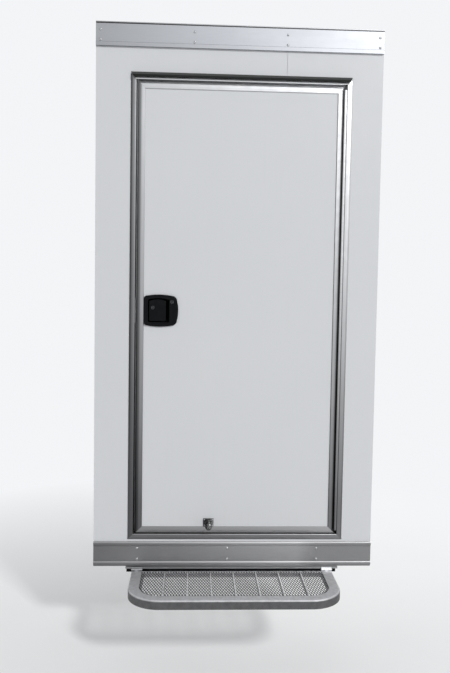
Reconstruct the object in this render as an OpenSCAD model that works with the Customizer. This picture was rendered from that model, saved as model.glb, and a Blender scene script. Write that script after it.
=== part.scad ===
// Escape door of an enclosed trailer, in its own section of side wall: three post bays wide, from
// the top rail to the bottom rail, with the fold-up step that hangs under the door.
// X runs to the right as seen from outside, Y into the trailer, Z up. The origin is on the back face
// of the bottom rail, below the middle of the door.

/* [Wall section] */
// Distance from one wall post to the next
bay = 406.4; // [380:0.1:430]
// How far the door's centre line lies to the right of the middle of the section
door_shift = 8.4; // [0:0.1:20]
// Width of a wall post, along the wall
post_w = 38; // [30:1:50]
// Depth of a wall post, through the wall
post_d = 38; // [32:1:60]
// Thickness of the outer sheet
skin_t = 1; // [0.8:0.1:2]
// Thickness of the inner lining
lining_t = 9; // [6:1:15]
// Distance from the bottom rail to the door frame
sill_gap = 9; // [4:1:30]
// Distance from the door frame to the top rail
head_gap = 112; // [60:1:200]

/* [Rails] */
// Height of the bottom rail
rail_h = 108; // [90:1:140]
// Thickness of the bottom rail's hollow section, lips left out
rail_t = 8; // [7:1:12]
// Height of the rounded lip along each edge of the bottom rail
lip_h = 18; // [12:1:24]
// How far that lip stands out from the rail's face
lip_proud = 4; // [2:0.5:6]
// Height of the top rail
top_rail_h = 94; // [90:1:140]
// Height of the roof edge strip above the top rail
roof_edge_h = 10; // [8:1:20]
// Wall thickness of the extruded rails
rail_wall = 2.5; // [2:0.1:3]

/* [Door frame] */
// Width of the frame over its flange
frame_w = 971; // [800:1:1100]
// Height of the frame over its flange
frame_h = 2059; // [1700:1:2200]
// Width of the flange that lies on the outer sheet
flange_w = 25; // [22:1:30]
// How far the flange's crown stands out from the outer sheet
flange_t = 4; // [3:0.1:5]
// Thickness of the frame's web and stop
jamb_t = 2.5; // [2:0.1:4]
// Gap between the frame and the leaf on both sides
leaf_gap = 7; // [6.5:0.1:9]
// Gap between the frame and the leaf above it
head_play = 7; // [4:0.1:9]
// Gap between the frame and the leaf below it
sill_play = 3; // [2:0.1:9]
// Width of the stop that the leaf closes against
stop_w = 16; // [12:1:24]

/* [Leaf] */
// Thickness of the leaf over its trim
leaf_t = 42; // [40:1:48]
// Width of the trim on the leaf's outer face
trim_w = 32; // [28:1:40]
// Width of the trim's rounded outer edge
nose_w = 20; // [12:1:24]
// Depth of the rounded outer edge
nose_d = 12; // [9:1:14]
// How far the trim stands proud of the leaf's panel
trim_proud = 4.5; // [3:0.5:6]
// Thickness of the leaf's two sheets
sheet_t = 1.5; // [1:0.1:2]
// How far the trim's face stands out from the wall
leaf_proud = 6; // [5:0.5:8]

/* [Door hinge] */
// Radius of the hinge's barrel
barrel_r = 6.5; // [5.5:0.1:6.8]
// Radius of the hinge's pin
pin_r = 2.4; // [2:0.1:3]
// Length of one knuckle
knuckle_l = 38.5; // [30:0.1:80]
// Thickness of the hinge's plates
hinge_t = 2; // [1.6:0.1:2.2]

/* [Latch] */
// Width of the latch's bezel
bezel_w = 152; // [140:1:170]
// Height of the bezel
bezel_h = 142; // [136:1:160]
// How far the bezel stands proud of the leaf's panel
bezel_proud = 10; // [9:1:14]
// Depth of the hand recess behind the panel's face
recess_d = 22; // [16:1:26]
// Height of the latch's centre above the frame's lower edge
latch_z = 1031; // [850:1:1200]
// Radius of the two key plugs
plug_r = 8; // [6:0.5:9]

/* [Hold-back] */
// Distance of the hold-back to the left of the door's middle
holdback_x = 122; // [0:1:300]
// How far the hold-back's plunger reaches out from the panel
holdback_l = 55; // [40:1:60]

/* [Step] */
// Width of the step
step_w = 906; // [700:1:960]
// How far the step reaches out from the wall
step_reach = 336; // [260:1:400]
// Distance of the step's middle to the left of the door's middle
step_shift = 11.5; // [0:0.5:20]
// Width of the step's rim
rim_w = 46.6; // [38:0.1:60]
// Height of the step's rim
rim_h = 38; // [32:1:50]
// Radius of the rim's two front corners
rim_r = 140; // [110:1:160]
// Number of tread bays between the bars
tread_bays = 8; // [5:1:10]
// Thickness of a tread bar
bar_t = 5; // [4:0.5:8]
// Radius of the step hinge's knuckles
step_knuckle_r = 5; // [4.5:0.1:6]
// Radius of the step hinge's pins
step_pin_r = 2.5; // [2:0.1:3]

/* [Hidden] */
$fn = 48;
e = 1;                                   // how far a cutter runs past the face that it cuts
pin_play = 0.05;                         // running clearance of a pin in its knuckles
knuckle_play = 0.4;                      // end clearance between two knuckles
seat_play = 0.3;                         // clearance where a soft or curved piece meets another
mitre_play = 0.15;                       // half of the hairline at a mitred corner

// The wall's three bays, with a whole post at each end
bays = 3;
wall_l = -door_shift - bays*bay/2 - post_w/2;
wall_r = -door_shift + bays*bay/2 + post_w/2;
seam_x = wall_r - post_w/2 - bay;        // joint between the two outer sheets, on the third post
seam_gap = 1;
wall_y = post_d + lining_t;              // inner face of the wall

// Heights, from the bottom rail up
screw_row = 28;                          // the origin lies on the rail's lower row of screws
screw_shift = 36.1;                      // middle column of screws, to the left of the origin
screw_hole_r = 2.6;
rail_z = -screw_row;
frame_z = rail_z + rail_h + sill_gap;
frame_top = frame_z + frame_h;
top_rail_z = frame_top + head_gap;
top_rail_top = top_rail_z + top_rail_h;
plate_top = top_rail_top + roof_edge_h - rail_wall;
frame_mid = frame_z + frame_h/2;

// Planes through the wall
skin_y = -skin_t;
flange_y = skin_y - flange_t;
leaf_y = skin_y - leaf_proud;            // face of the leaf's trim
panel_y = leaf_y + trim_proud;           // face of the leaf's outer sheet
leaf_back = leaf_y + leaf_t;
seal_h = 5;                              // height of the bulb seal on the stop
stop_y = leaf_back + seal_h;

// Rough opening in the wall, a shim's width outside the frame's web
shim = 1.5;
rough_in = flange_w - jamb_t - shim;
rough_x = frame_w/2 - rough_in;
rough_low = frame_z + rough_in;
rough_top = frame_top - rough_in;
sole_z = 20;                             // lower edge of the sole plate and of the outer sheet
header_h = 38;

// The leaf
leaf_w = frame_w - 2*flange_w - 2*leaf_gap;
leaf_h = frame_h - 2*flange_w - head_play - sill_play;
leaf_l = -leaf_w/2;
leaf_low = frame_z + flange_w + sill_play;
leaf_mid = leaf_low + leaf_h/2;
nose_y = leaf_y + nose_d;                // the rounded edge meets the leaf's side here
channel_t = 2;                           // wall of the trim's channel
panel_in = 6;                            // leaf's edge to the edge of its panels
panel_w = leaf_w - 2*panel_in;
panel_h = leaf_h - 2*panel_in;
nose_steps = 6;
trim_back_w = 22;                        // width of the trim's inner flange
core_seam = 1;                           // joint between two blocks of the leaf's core

// The door's hinge: its barrel stands in front of the gap on the right, flush with the frame's side of it
hinge_x = leaf_w/2 + leaf_gap - barrel_r;
hinge_y = leaf_y - 1.5;
hinge_reach = 25;                        // how far the plates run in between the frame and the leaf
hinge_end = 12;                          // least distance of the hinge's end from the leaf's
knuckles = 2*floor((leaf_h - 2*hinge_end)/(2*knuckle_l) - 0.5) + 1;
hinge_l = knuckles*knuckle_l;
hinge_low = leaf_mid - hinge_l/2;
notch_y = hinge_y + barrel_r + 1;        // the plates are cut back to here beside foreign knuckles

// The latch, measured from the bezel's lower left corner
bezel_x = leaf_l + trim_w + 0.5;
bezel_z = frame_z + latch_z - bezel_h/2;
recess_l = 19;
recess_r = bezel_w - 40;
case_l = 10;                             // left and right sides of the lock case behind the bezel
case_r = bezel_w - 13;
recess_low = 20;
recess_top = bezel_h - 17;
arch = 5;                                // rise of the arched top edges
cup_wall = 2.5;
cup_play = 0.5;
paddle_play = 4;
finger_gap = 14;
paddle_t = 8;
paddle_l = recess_l + paddle_play;
paddle_r = recess_r - finger_gap;
paddle_low = recess_low + paddle_play;
paddle_top = recess_top - paddle_play;
paddle_face = panel_y - bezel_proud + 1.5;
pivot_r = 3;
pivot_x = paddle_l + 5;
pivot_y = paddle_face + paddle_t/2;
pivot_l = paddle_play + 5;
plug_x = paddle_l + 17;                  // key plug in the paddle
plug_z = 84;
bolt_plug_x = bezel_w - 28;              // key plug of the bolt, in the bezel's upper right corner
bolt_plug_z = bezel_h - 32;
boss_r = plug_r + 3.5;
boss_l = 10;
plug_l = paddle_t + boss_l + 1.5;

// The bolt, drawn back flush with the leaf's edge
bolt_w = 14;
bolt_h = 24;
bolt_l = 26;
bolt_y = (panel_y + leaf_back)/2;
face_plate_h = 110;

// The hold-back
plate_w = 46;
plate_h = 36;
holdback_z = leaf_low + trim_w + plate_h/2 + 0.5;
plate_t = 4;
plunger_drop = 6;                        // the plunger sits this far below the plate's centre
sleeve_l = 18;
head_l = 13;

// The step: its hinge axis runs along the top of the rim's rear end
step_x = -step_shift;
bar_low = rail_z - 15;                   // underside of the mounting bar
mount_t = 9;
mount_leg = 41;                          // height of the mounting angle's upright leg at the back
mount_leg_t = 6;
mount_w = frame_w - 10;
mount_front = -rail_t - 4;
mount_back = 40;
step_axis_y = mount_front - step_knuckle_r;
step_axis_z = bar_low - 2;
step_top = step_axis_z - step_knuckle_r - 1;
plate_gap = 1;                           // between the hinge's hanging plates when the step is down
lug_t = step_knuckle_r - plate_gap/2;
rim_rear = step_axis_y - step_knuckle_r;
rim_front = -step_reach;
rim_wall = 3;
rim_round = 8;
rim_inner = 20;                          // depth of the rim's inner wall
ledge_w = 12;
mesh_t = 2;
mesh_drop = 2;                           // the mesh lies this far below the rim's top
mesh_play = 0.5;
rear_bar_t = 6;
bar_h = 25;
tread_w = step_w - 2*rim_w;
tread_pitch = tread_w/tread_bays;
tread_front = rim_front + rim_w;
lug_w = rim_w;

// Expanded metal: a cell is one diamond and half of the strands round it
cells_across = 8;
cell_l = 31.75;
strand_share = 0.28;
mesh_border = 2;

aluminium = [0.74, 0.75, 0.77];
bright = [0.86, 0.87, 0.89];
white_paint = [0.83, 0.84, 0.86];
black_plastic = [0.07, 0.07, 0.08];
timber = [0.78, 0.66, 0.47];

// A bar along X from x0 to x1, with its section given in Y and Z
module bar_along_x(x0, x1) {
    translate([x0, 0, 0])
        rotate([90, 0, 90])
            linear_extrude(height = x1 - x0)
                children();
}

// A box from one corner to the opposite one
module box(low, high) {
    translate(low)
        cube(high - low);
}

// One side of a mitred rectangle of w by h, its middle at height mid. The section has its first
// axis inward from the rectangle's edge and its second along Y. turn: 0 bottom, 90 left, 180 top,
// 270 right. reach is the section's width.
module mitred_side(w, h, mid, turn, reach) {
    upright = turn == 90 || turn == 270;
    length = upright ? h : w;
    half = upright ? w/2 : h/2;
    end = length/2 - mitre_play*sqrt(2);
    translate([0, 0, mid])
        rotate([0, turn, 0])
            translate([0, 0, -half])
                intersection() {
                    rotate([0, -90, 0])
                        linear_extrude(height = length, center = true)
                            children();
                    rotate([90, 0, 0])
                        linear_extrude(height = 4*wall_y, center = true)
                            polygon([[-end, 0], [end, 0], [end - reach, reach], [reach - end, reach]]);
                }
}

// Outer sheet, in five pieces round the door
module skin(x0, x1, z0, z1) {
    color(white_paint)
        box([x0, skin_y, z0], [x1, 0, z1]);
}

module wall_posts() {
    color(aluminium) {
        for (x = [wall_l, wall_r - post_w])
            box([x, 0, rough_low], [x + post_w, post_d, plate_top - header_h]);
        for (side = [-1, 1])
            box([side*(rough_x + post_w/2) - post_w/2, 0, rough_low],
                [side*(rough_x + post_w/2) + post_w/2, post_d, plate_top - header_h]);
    }
}

module wall_plates() {
    color(aluminium) {
        box([wall_l, 0, sole_z], [wall_r, post_d, rough_low]);
        box([-rough_x, 0, rough_top], [rough_x, post_d, rough_top + header_h]);
        box([wall_l, 0, plate_top - header_h], [wall_r, post_d, plate_top]);
    }
}

module lining_sides() {
    color(white_paint) {
        box([wall_l, post_d, sole_z], [-rough_x, wall_y, plate_top]);
        box([rough_x, post_d, sole_z], [wall_r, wall_y, plate_top]);
    }
}

module lining_ends() {
    color(white_paint) {
        box([-rough_x, post_d, sole_z], [rough_x, wall_y, rough_low]);
        box([-rough_x, post_d, rough_top], [rough_x, wall_y, plate_top]);
    }
}

// Top rail: a face with a lip along its lower edge, open towards the wall
module top_rail() {
    lip = 16;
    y0 = skin_y - rail_t + 1;
    color(aluminium)
        bar_along_x(wall_l, wall_r)
            translate([0, top_rail_z])
                polygon([[skin_y, 0], [y0 - 2, 0], [y0 - 2, lip], [y0, lip + 2],
                         [y0, top_rail_h], [skin_y, top_rail_h], [skin_y, top_rail_h - rail_wall],
                         [y0 + rail_wall, top_rail_h - rail_wall], [y0 + rail_wall, lip],
                         [y0 - 2 + rail_wall, lip - 2], [y0 - 2 + rail_wall, rail_wall],
                         [skin_y, rail_wall]]);
}

// Roof edge: an angle over the top plate that comes down on the rail
module roof_edge() {
    front = skin_y - rail_t + 3;
    color(bright)
        bar_along_x(wall_l, wall_r)
            polygon([[front, top_rail_top], [front, plate_top + rail_wall - 1],
                     [front + 1, plate_top + rail_wall], [post_d, plate_top + rail_wall],
                     [post_d, plate_top], [0, plate_top], [0, top_rail_top]]);
}

// Points of a rounded lip that bulges out of the bottom rail's face from height high down to low
function lip_points(high, low) =
    [for (i = [0 : 8])
        [-rail_t - lip_proud*sin(180*i/8), high - (high - low)*(1 - cos(180*i/8))/2]];

// Bottom rail: a hollow section with a rounded lip and a groove along each edge, and a foot under the floor
module bottom_rail() {
    top = rail_z + rail_h;
    groove_h = 4;
    groove_d = 1.2;
    groove_y = groove_d - rail_t;
    inner = lip_h + groove_h;            // from the rail's edge to its hollow
    foot = 45;
    foot_t = 3;
    foot_z = bar_low + mount_t;
    color(aluminium)
        difference() {
            bar_along_x(wall_l, wall_r)
                difference() {
                    polygon(concat(
                        [[skin_y, top]],
                        lip_points(top, top - lip_h),
                        [[groove_y, top - lip_h - groove_d/2], [groove_y, top - inner + groove_d/2],
                         [-rail_t, top - inner], [-rail_t, rail_z + inner],
                         [groove_y, rail_z + inner - groove_d/2], [groove_y, rail_z + lip_h + groove_d/2]],
                        lip_points(rail_z + lip_h, rail_z),
                        [[-foot_t, rail_z], [-foot_t, foot_z], [foot, foot_z], [foot, foot_z + foot_t],
                         [0, foot_z + foot_t], [0, sole_z], [skin_y, sole_z]]));
                    polygon([[-rail_t + rail_wall, rail_z + inner], [skin_y - rail_wall, rail_z + inner],
                             [skin_y - rail_wall, top - inner], [-rail_t + rail_wall, top - inner]]);
                }
            for (k = [-1 : 1])
                translate([k*bay - screw_shift, -rail_t - e, 0])
                    rotate([-90, 0, 0])
                        cylinder(r = screw_hole_r, h = rail_t + 2*e);
        }
}

// Drip cap: a soft black gutter over the frame that hangs down in front of its flange, its ends cut back
module drip_cap() {
    depth = 20;
    height = 7;
    drop = 17;
    leg = 6;                             // the gutter's back stands this far out from the sheet
    back = 13;
    low = frame_top + 0.4;
    color(black_plastic)
        intersection() {
            bar_along_x(-frame_w/2, frame_w/2)
                translate([skin_y, low])
                    polygon([[0, 0], [-leg, 0], [-leg, -3], [3 - depth, 1 - drop], [-depth, -drop],
                             [-depth, -drop/2], [1.5 - depth, 1.5 - drop/2], [-3, height - 1], [0, height]]);
            rotate([90, 0, 0])
                linear_extrude(height = 100, center = true)
                    polygon([[-frame_w/2 + back, low - drop - e], [frame_w/2 - back, low - drop - e],
                             [frame_w/2, low + height + e], [-frame_w/2, low + height + e]]);
        }
}

// Points of a quarter of an ellipse round c with half axes a and b, from angle from to to, in n steps
function quarter(c, a, b, from, to, n) =
    [for (i = [0 : n]) let (t = from + (to - from)*i/n) c + [a*cos(t), b*sin(t)]];

// Section of the door frame: crowned flange, web and stop
module jamb_section() {
    edge = 0.8;
    crown = 14;
    round_in = 4;
    polygon(concat(
        [[0, skin_y]],
        quarter([crown, skin_y - edge], crown, flange_t - edge, 180, 270, 6),
        quarter([flange_w - round_in, flange_y + round_in], round_in, round_in, 270, 360, 4),
        [[flange_w, stop_y], [flange_w + stop_w, stop_y],
         [flange_w + stop_w, stop_y + jamb_t], [flange_w, stop_y + jamb_t],
         [flange_w, wall_y], [flange_w - jamb_t, wall_y], [flange_w - jamb_t, skin_y]]));
}

module frame_side(turn) {
    mitred_side(frame_w, frame_h, frame_mid, turn, flange_w + stop_w)
        jamb_section();
}

module frame_left() {
    color(aluminium)
        difference() {
            frame_side(90);
            box([-frame_w/2 + flange_w - jamb_t - e, bolt_y - bolt_w/2 - 1, bezel_z + bezel_h/2 - bolt_h/2 - 1],
                [-frame_w/2 + flange_w + e, bolt_y + bolt_w/2 + 1, bezel_z + bezel_h/2 + bolt_h/2 + 1]);
        }
}

// Inner ring that covers the edge of the lining, in four mitred strips
module inner_ring() {
    ring_w = 24;
    ring_t = 2.5;
    color(white_paint)
        for (turn = [0, 90, 180, 270])
            mitred_side(frame_w, frame_h, frame_mid, turn, flange_w + 2)
                polygon([[flange_w + 2 - ring_w, wall_y], [flange_w + 2, wall_y],
                         [flange_w + 2, wall_y + ring_t], [flange_w - ring_w + 3, wall_y + ring_t]]);
}

// Bulb seal on the stop, in four strips
module door_seal() {
    seal_r = 2.2;
    mid = flange_w + stop_w/2 + 2;
    color(black_plastic)
        for (turn = [0, 90, 180, 270])
            mitred_side(frame_w, frame_h, frame_mid, turn, flange_w + stop_w)
                union() {
                    translate([mid, leaf_back + seat_play + seal_r])
                        circle(seal_r);
                    polygon([[mid - 4, stop_y], [mid + 4, stop_y], [mid + 1.5, stop_y - 2.2],
                             [mid - 1.5, stop_y - 2.2]]);
                }
}

// One plate of the hinge, with every second knuckle. side is 1 for the frame's plate, -1 for the leaf's
module hinge_plate(side, first) {
    color(aluminium)
        difference() {
            translate([hinge_x, 0, hinge_low])
                linear_extrude(height = hinge_l)
                    difference() {
                        union() {
                            translate([0, hinge_y])
                                circle(barrel_r);
                            translate([side > 0 ? barrel_r - hinge_t : barrel_r - leaf_gap, hinge_y])
                                square([hinge_t, hinge_reach - hinge_y]);
                        }
                        translate([0, hinge_y])
                            circle(pin_r + pin_play);
                    }
            for (k = [first : 2 : knuckles - 1])
                box([hinge_x - 2*barrel_r, hinge_y - 2*barrel_r, hinge_low + k*knuckle_l - knuckle_play/2],
                    [hinge_x + 2*barrel_r, notch_y, hinge_low + (k + 1)*knuckle_l + knuckle_play/2]);
        }
}

module hinge_pin() {
    color(bright)
        translate([hinge_x, hinge_y, hinge_low])
            cylinder(r = pin_r, h = hinge_l);
}

module strike_plate() {
    x = -frame_w/2 + flange_w;
    mid = bezel_z + bezel_h/2;
    color(bright)
        difference() {
            box([x, bolt_y - 13, mid - face_plate_h/2], [x + 1.5, bolt_y + 13, mid + face_plate_h/2]);
            box([x - e, bolt_y - bolt_w/2 - 1, mid - bolt_h/2 - 1],
                [x + 1.5 + e, bolt_y + bolt_w/2 + 1, mid + bolt_h/2 + 1]);
        }
}

// Section of the leaf's trim: a channel round the panels, its outer lip rounded off to the leaf's edge
module trim_section() {
    polygon(concat(
        quarter([nose_w, nose_y], nose_w, nose_d, 180, 270, nose_steps),
        [[trim_w - 1.5, leaf_y], [trim_w, leaf_y + 1.5], [trim_w, panel_y], [panel_in, panel_y],
         [channel_t, nose_y], [channel_t, leaf_back - channel_t], [trim_back_w, leaf_back - channel_t],
         [trim_back_w, leaf_back], [0, leaf_back]]));
}

module leaf_trim(turn) {
    mitred_side(leaf_w, leaf_h, leaf_mid, turn, trim_w)
        trim_section();
}

module leaf_trim_left() {
    mid = bezel_z + bezel_h/2;
    color(aluminium)
        difference() {
            leaf_trim(90);
            box([leaf_l - e, bolt_y - bolt_w/2 - 0.5, mid - bolt_h/2 - 0.5],
                [leaf_l + channel_t + e, bolt_y + bolt_w/2 + 0.5, mid + bolt_h/2 + 0.5]);
        }
}

// The cup's outline on the panel, x and z, widened by grow
module cup_hole(y0, y1, grow) {
    box([bezel_x + case_l - grow, y0, bezel_z + recess_low - cup_wall - grow],
        [bezel_x + case_r + grow, y1, bezel_z + recess_top + cup_wall + grow]);
}

module panel_box(y0, y1) {
    box([-panel_w/2, y0, leaf_mid - panel_h/2], [panel_w/2, y1, leaf_mid + panel_h/2]);
}

module outer_panel() {
    color(white_paint)
        difference() {
            panel_box(panel_y, panel_y + sheet_t);
            cup_hole(panel_y - e, panel_y + sheet_t + e, cup_play);
        }
}

// Foam core, in five blocks: one above and one below the latch's cup, one on each side and one behind it
module leaf_core() {
    mid = bezel_z + bezel_h/2;
    y0 = panel_y + sheet_t;
    y1 = leaf_back - channel_t - sheet_t;
    cup_l = bezel_x + case_l - cup_play;
    cup_r = bezel_x + case_r + cup_play;
    cup_low = bezel_z + recess_low - cup_wall - cup_play;
    cup_top = bezel_z + recess_top + cup_wall + cup_play;
    cup_back = panel_y + recess_d + cup_wall + cup_play;
    color(timber) {
        box([-panel_w/2, y0, leaf_mid - panel_h/2], [panel_w/2, y1, cup_low - core_seam]);
        box([-panel_w/2, y0, cup_top + core_seam], [panel_w/2, y1, leaf_mid + panel_h/2]);
        box([cup_r, y0, cup_low], [panel_w/2, y1, cup_top]);
        box([cup_l + core_seam, cup_back, cup_low], [cup_r - core_seam, y1, cup_top]);
        difference() {
            box([-panel_w/2, y0, cup_low], [cup_l, y1, cup_top]);
            box([leaf_l, bolt_y - bolt_w/2 - 0.5, mid - bolt_h/2 - 0.5],
                [leaf_l + bolt_l + 1, bolt_y + bolt_w/2 + 0.5, mid + bolt_h/2 + 0.5]);
        }
    }
}

module inner_panel() {
    color(white_paint)
        panel_box(leaf_back - channel_t - sheet_t, leaf_back - channel_t);
}

// Outline of the bezel: straight on the left, bowed on the other three sides, moved in by inset
function bowed(a, b, bow, n) =
    [for (i = [0 : n])
        let (t = i/n, along = a + (b - a)*t, side = [b[1] - a[1], a[0] - b[0]]/norm(b - a))
        along + side*bow*4*t*(1 - t)];

function round_corner(c, r, from, n) =
    [for (i = [0 : n]) c + r*[cos(from + 90*i/n), sin(from + 90*i/n)]];

function bezel_outline(inset) =
    let (bow = 5, rl = 13, rr = 24, n = 8,
         x0 = inset, x1 = bezel_w - bow - inset, z0 = bow + inset, z1 = bezel_h - bow - inset)
    concat(round_corner([x0 + rl, z0 + rl], rl, 180, 4),
           bowed([x0 + rl, z0], [x1 - rr, z0], bow, n),
           round_corner([x1 - rr, z0 + rr], rr, 270, 4),
           bowed([x1, z0 + rr], [x1, z1 - rr], bow, n),
           round_corner([x1 - rr, z1 - rr], rr, 0, 4),
           bowed([x1 - rr, z1], [x0 + rl, z1], bow, n),
           round_corner([x0 + rl, z1 - rl], rl, 90, 4));

// A plate in the plane of the leaf from y0 to y1, its outline in X and Z from the bezel's corner
module upright_plate(y0, y1) {
    translate([bezel_x, y1, bezel_z])
        rotate([90, 0, 0])
            linear_extrude(height = y1 - y0)
                children();
}

// Outline with an arched top edge
module arched(x0, x1, z0, z1, rise) {
    polygon(concat([[x0, z0], [x1, z0]], bowed([x1, z1 - rise], [x0, z1 - rise], rise, 10)));
}

module latch_housing() {
    edge = 4;
    color(black_plastic)
        difference() {
            union() {
                hull() {
                    upright_plate(panel_y - bezel_proud + edge, panel_y)
                        polygon(bezel_outline(0));
                    upright_plate(panel_y - bezel_proud, panel_y)
                        polygon(bezel_outline(edge));
                }
                cup_hole(panel_y, panel_y + recess_d + cup_wall, 0);
            }
            upright_plate(panel_y - bezel_proud - e, panel_y + recess_d)
                arched(recess_l, recess_r, recess_low, recess_top, arch);
            translate([bezel_x + pivot_x, pivot_y, bezel_z + paddle_low - pivot_l - pin_play])
                cylinder(r = pivot_r + pin_play, h = paddle_top - paddle_low + 2*pivot_l + 2*pin_play);
            translate([bezel_x + bolt_plug_x, panel_y - bezel_proud - e, bezel_z + bolt_plug_z])
                rotate([-90, 0, 0])
                    cylinder(r = plug_r + pin_play, h = plug_l + 2*e);
        }
}

module latch_paddle() {
    color(black_plastic)
        difference() {
            union() {
                upright_plate(paddle_face, paddle_face + paddle_t)
                    arched(paddle_l, paddle_r, paddle_low, paddle_top, arch);
                translate([bezel_x + pivot_x, pivot_y, bezel_z + paddle_low - pivot_l])
                    cylinder(r = pivot_r, h = paddle_top - paddle_low + 2*pivot_l);
                translate([bezel_x + plug_x, paddle_face + paddle_t - e, bezel_z + plug_z])
                    rotate([-90, 0, 0])
                        cylinder(r = boss_r, h = boss_l + e);
            }
            translate([bezel_x + plug_x, paddle_face - e, bezel_z + plug_z])
                rotate([-90, 0, 0])
                    cylinder(r = plug_r + pin_play, h = paddle_t + boss_l + 2*e);
        }
}

// Key plug: a cylinder with a keyway across its face. front is the face of the piece that holds it
module key_plug(x, z, front) {
    color(bright)
        translate([bezel_x + x, front - 1, bezel_z + z])
            rotate([-90, 0, 0])
                difference() {
                    cylinder(r = plug_r, h = plug_l);
                    translate([-0.8, -plug_r*0.6, -e])
                        cube([1.6, plug_r*1.2, 5 + e]);
                }
}

module latch_bolt() {
    mid = bezel_z + bezel_h/2;
    color(bright)
        box([leaf_l, bolt_y - bolt_w/2, mid - bolt_h/2], [leaf_l + bolt_l, bolt_y + bolt_w/2, mid + bolt_h/2]);
}

// Inside release: a plate with a shallow lever, on the leaf's inner sheet
module inside_handle() {
    plate_l = 4;
    plate_r = 124;
    plate_half = 55;
    dish_half = 30;
    lever_half = 12;
    rim = 16;
    y0 = leaf_back - channel_t;
    mid = bezel_z + bezel_h/2;
    color(black_plastic) {
        difference() {
            box([bezel_x + plate_l, y0, mid - plate_half], [bezel_x + plate_r, y0 + 6, mid + plate_half]);
            box([bezel_x + plate_l + rim, y0 + 2, mid - dish_half],
                [bezel_x + plate_r - rim, y0 + 6 + e, mid + dish_half]);
        }
        box([bezel_x + plate_l + rim + 6, y0 + 2, mid - lever_half],
            [bezel_x + plate_r - rim - 6, y0 + 9, mid + lever_half]);
    }
}

module holdback_base() {
    color(bright)
        translate([-holdback_x, panel_y, holdback_z])
            rotate([90, 0, 0]) {
                translate([-plate_w/2, -plate_h/2, 0])
                    cube([plate_w, plate_h, plate_t]);
                translate([0, -plunger_drop, 0])
                    cylinder(r = 13, h = sleeve_l);
            }
}

module holdback_plunger() {
    color(bright)
        translate([-holdback_x, panel_y, holdback_z - plunger_drop])
            rotate([90, 0, 0]) {
                translate([0, 0, sleeve_l])
                    cylinder(r = 11, h = holdback_l - head_l - sleeve_l);
                translate([0, 0, holdback_l - head_l])
                    cylinder(r1 = 15, r2 = 14, h = head_l);
            }
}

// Mounting angle under the rail's foot: its flat leg carries the step's hinges
module step_mount_bar() {
    color(aluminium)
        bar_along_x(step_x - mount_w/2, step_x + mount_w/2)
            polygon([[mount_front, bar_low + mount_t], [mount_front, bar_low],
                     [mount_back - mount_leg_t, bar_low],
                     [mount_back - mount_leg_t, bar_low + mount_t - mount_leg],
                     [mount_back, bar_low + mount_t - mount_leg], [mount_back, bar_low + mount_t]]);
}

// Middle of the hinge on each arm
function lug_mid(side) = step_x + side*(step_w - lug_w)/2;

// Outline of one hinge plate of the step, in Y and Z: front is where its flat lies
module lug_outline(y0, y1, low, high) {
    difference() {
        union() {
            translate([step_axis_y, step_axis_z])
                circle(step_knuckle_r);
            translate([y0, low])
                square([y1 - y0, high - low]);
        }
        translate([step_axis_y, step_axis_z])
            circle(step_pin_r + pin_play);
    }
}

// Fixed halves: a plate on the mounting bar's front edge, knuckled at both ends
module step_hinge_lugs() {
    third = lug_w/3;
    color(bright)
        for (side = [-1, 1])
            difference() {
                bar_along_x(lug_mid(side) - lug_w/2, lug_mid(side) + lug_w/2)
                    lug_outline(mount_front - lug_t, mount_front, step_top - rim_h, bar_low + mount_t);
                box([lug_mid(side) - third/2 - knuckle_play, step_axis_y - 2*step_knuckle_r,
                     step_axis_z - step_knuckle_r - 0.5],
                    [lug_mid(side) + third/2 + knuckle_play, mount_front + e,
                     step_axis_z + step_knuckle_r + 0.5]);
            }
}

// Moving halves: a plate that closes the arm's rear end, knuckled in the middle
module step_hinge_plates() {
    third = lug_w/3;
    color(bright)
        for (side = [-1, 1])
            difference() {
                bar_along_x(lug_mid(side) - lug_w/2, lug_mid(side) + lug_w/2)
                    lug_outline(rim_rear, rim_rear + lug_t, step_top - rim_h, step_axis_z);
                for (end = [-1, 1])
                    box([lug_mid(side) + (end > 0 ? third/2 - knuckle_play : -lug_w),
                         step_axis_y - 2*step_knuckle_r, step_top],
                        [lug_mid(side) + (end > 0 ? lug_w : knuckle_play - third/2),
                         step_axis_y + 2*step_knuckle_r, step_axis_z + 2*step_knuckle_r]);
            }
}

module step_hinge_pins() {
    color(aluminium)
        for (side = [-1, 1])
            translate([lug_mid(side) - lug_w/2 - 2, step_axis_y, step_axis_z])
                rotate([0, 90, 0])
                    cylinder(r = step_pin_r, h = lug_w + 4);
}

// Section of the rim: x runs inward from the outer face, y down from the top. The channel is open below
module rim_section() {
    lip = 12;
    intersection() {
        translate([rim_round, -rim_round])
            difference() {
                circle(rim_round);
                circle(rim_round - rim_wall);
            }
        translate([0, -rim_round])
            square(rim_round);
    }
    translate([0, -rim_h])
        square([rim_wall, rim_h - rim_round]);
    translate([0, -rim_h])
        square([lip, rim_wall]);
    translate([rim_round, -rim_wall])
        square([rim_w - rim_round, rim_wall]);
    translate([rim_w - rim_wall, -rim_inner])
        square([rim_wall, rim_inner]);
    translate([rim_w - rim_wall, -mesh_drop - mesh_t - rim_wall])
        square([rim_wall + ledge_w, rim_wall]);
}

// Arm with its rounded front corner. side is -1 on the left, 1 on the right
module step_arm(side) {
    translate([step_x, 0, step_top])
        mirror([side > 0 ? 1 : 0, 0, 0]) {
            translate([-step_w/2, rim_front + rim_r, 0])
                rotate([90, 0, 180])
                    mirror([1, 0, 0])
                        linear_extrude(height = rim_rear - rim_front - rim_r)
                            rim_section();
            translate([-step_w/2 + rim_r, rim_front + rim_r, 0])
                rotate([0, 0, 180])
                    rotate_extrude(angle = 90)
                        translate([rim_r, 0])
                            mirror([1, 0])
                                rim_section();
        }
}

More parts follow.
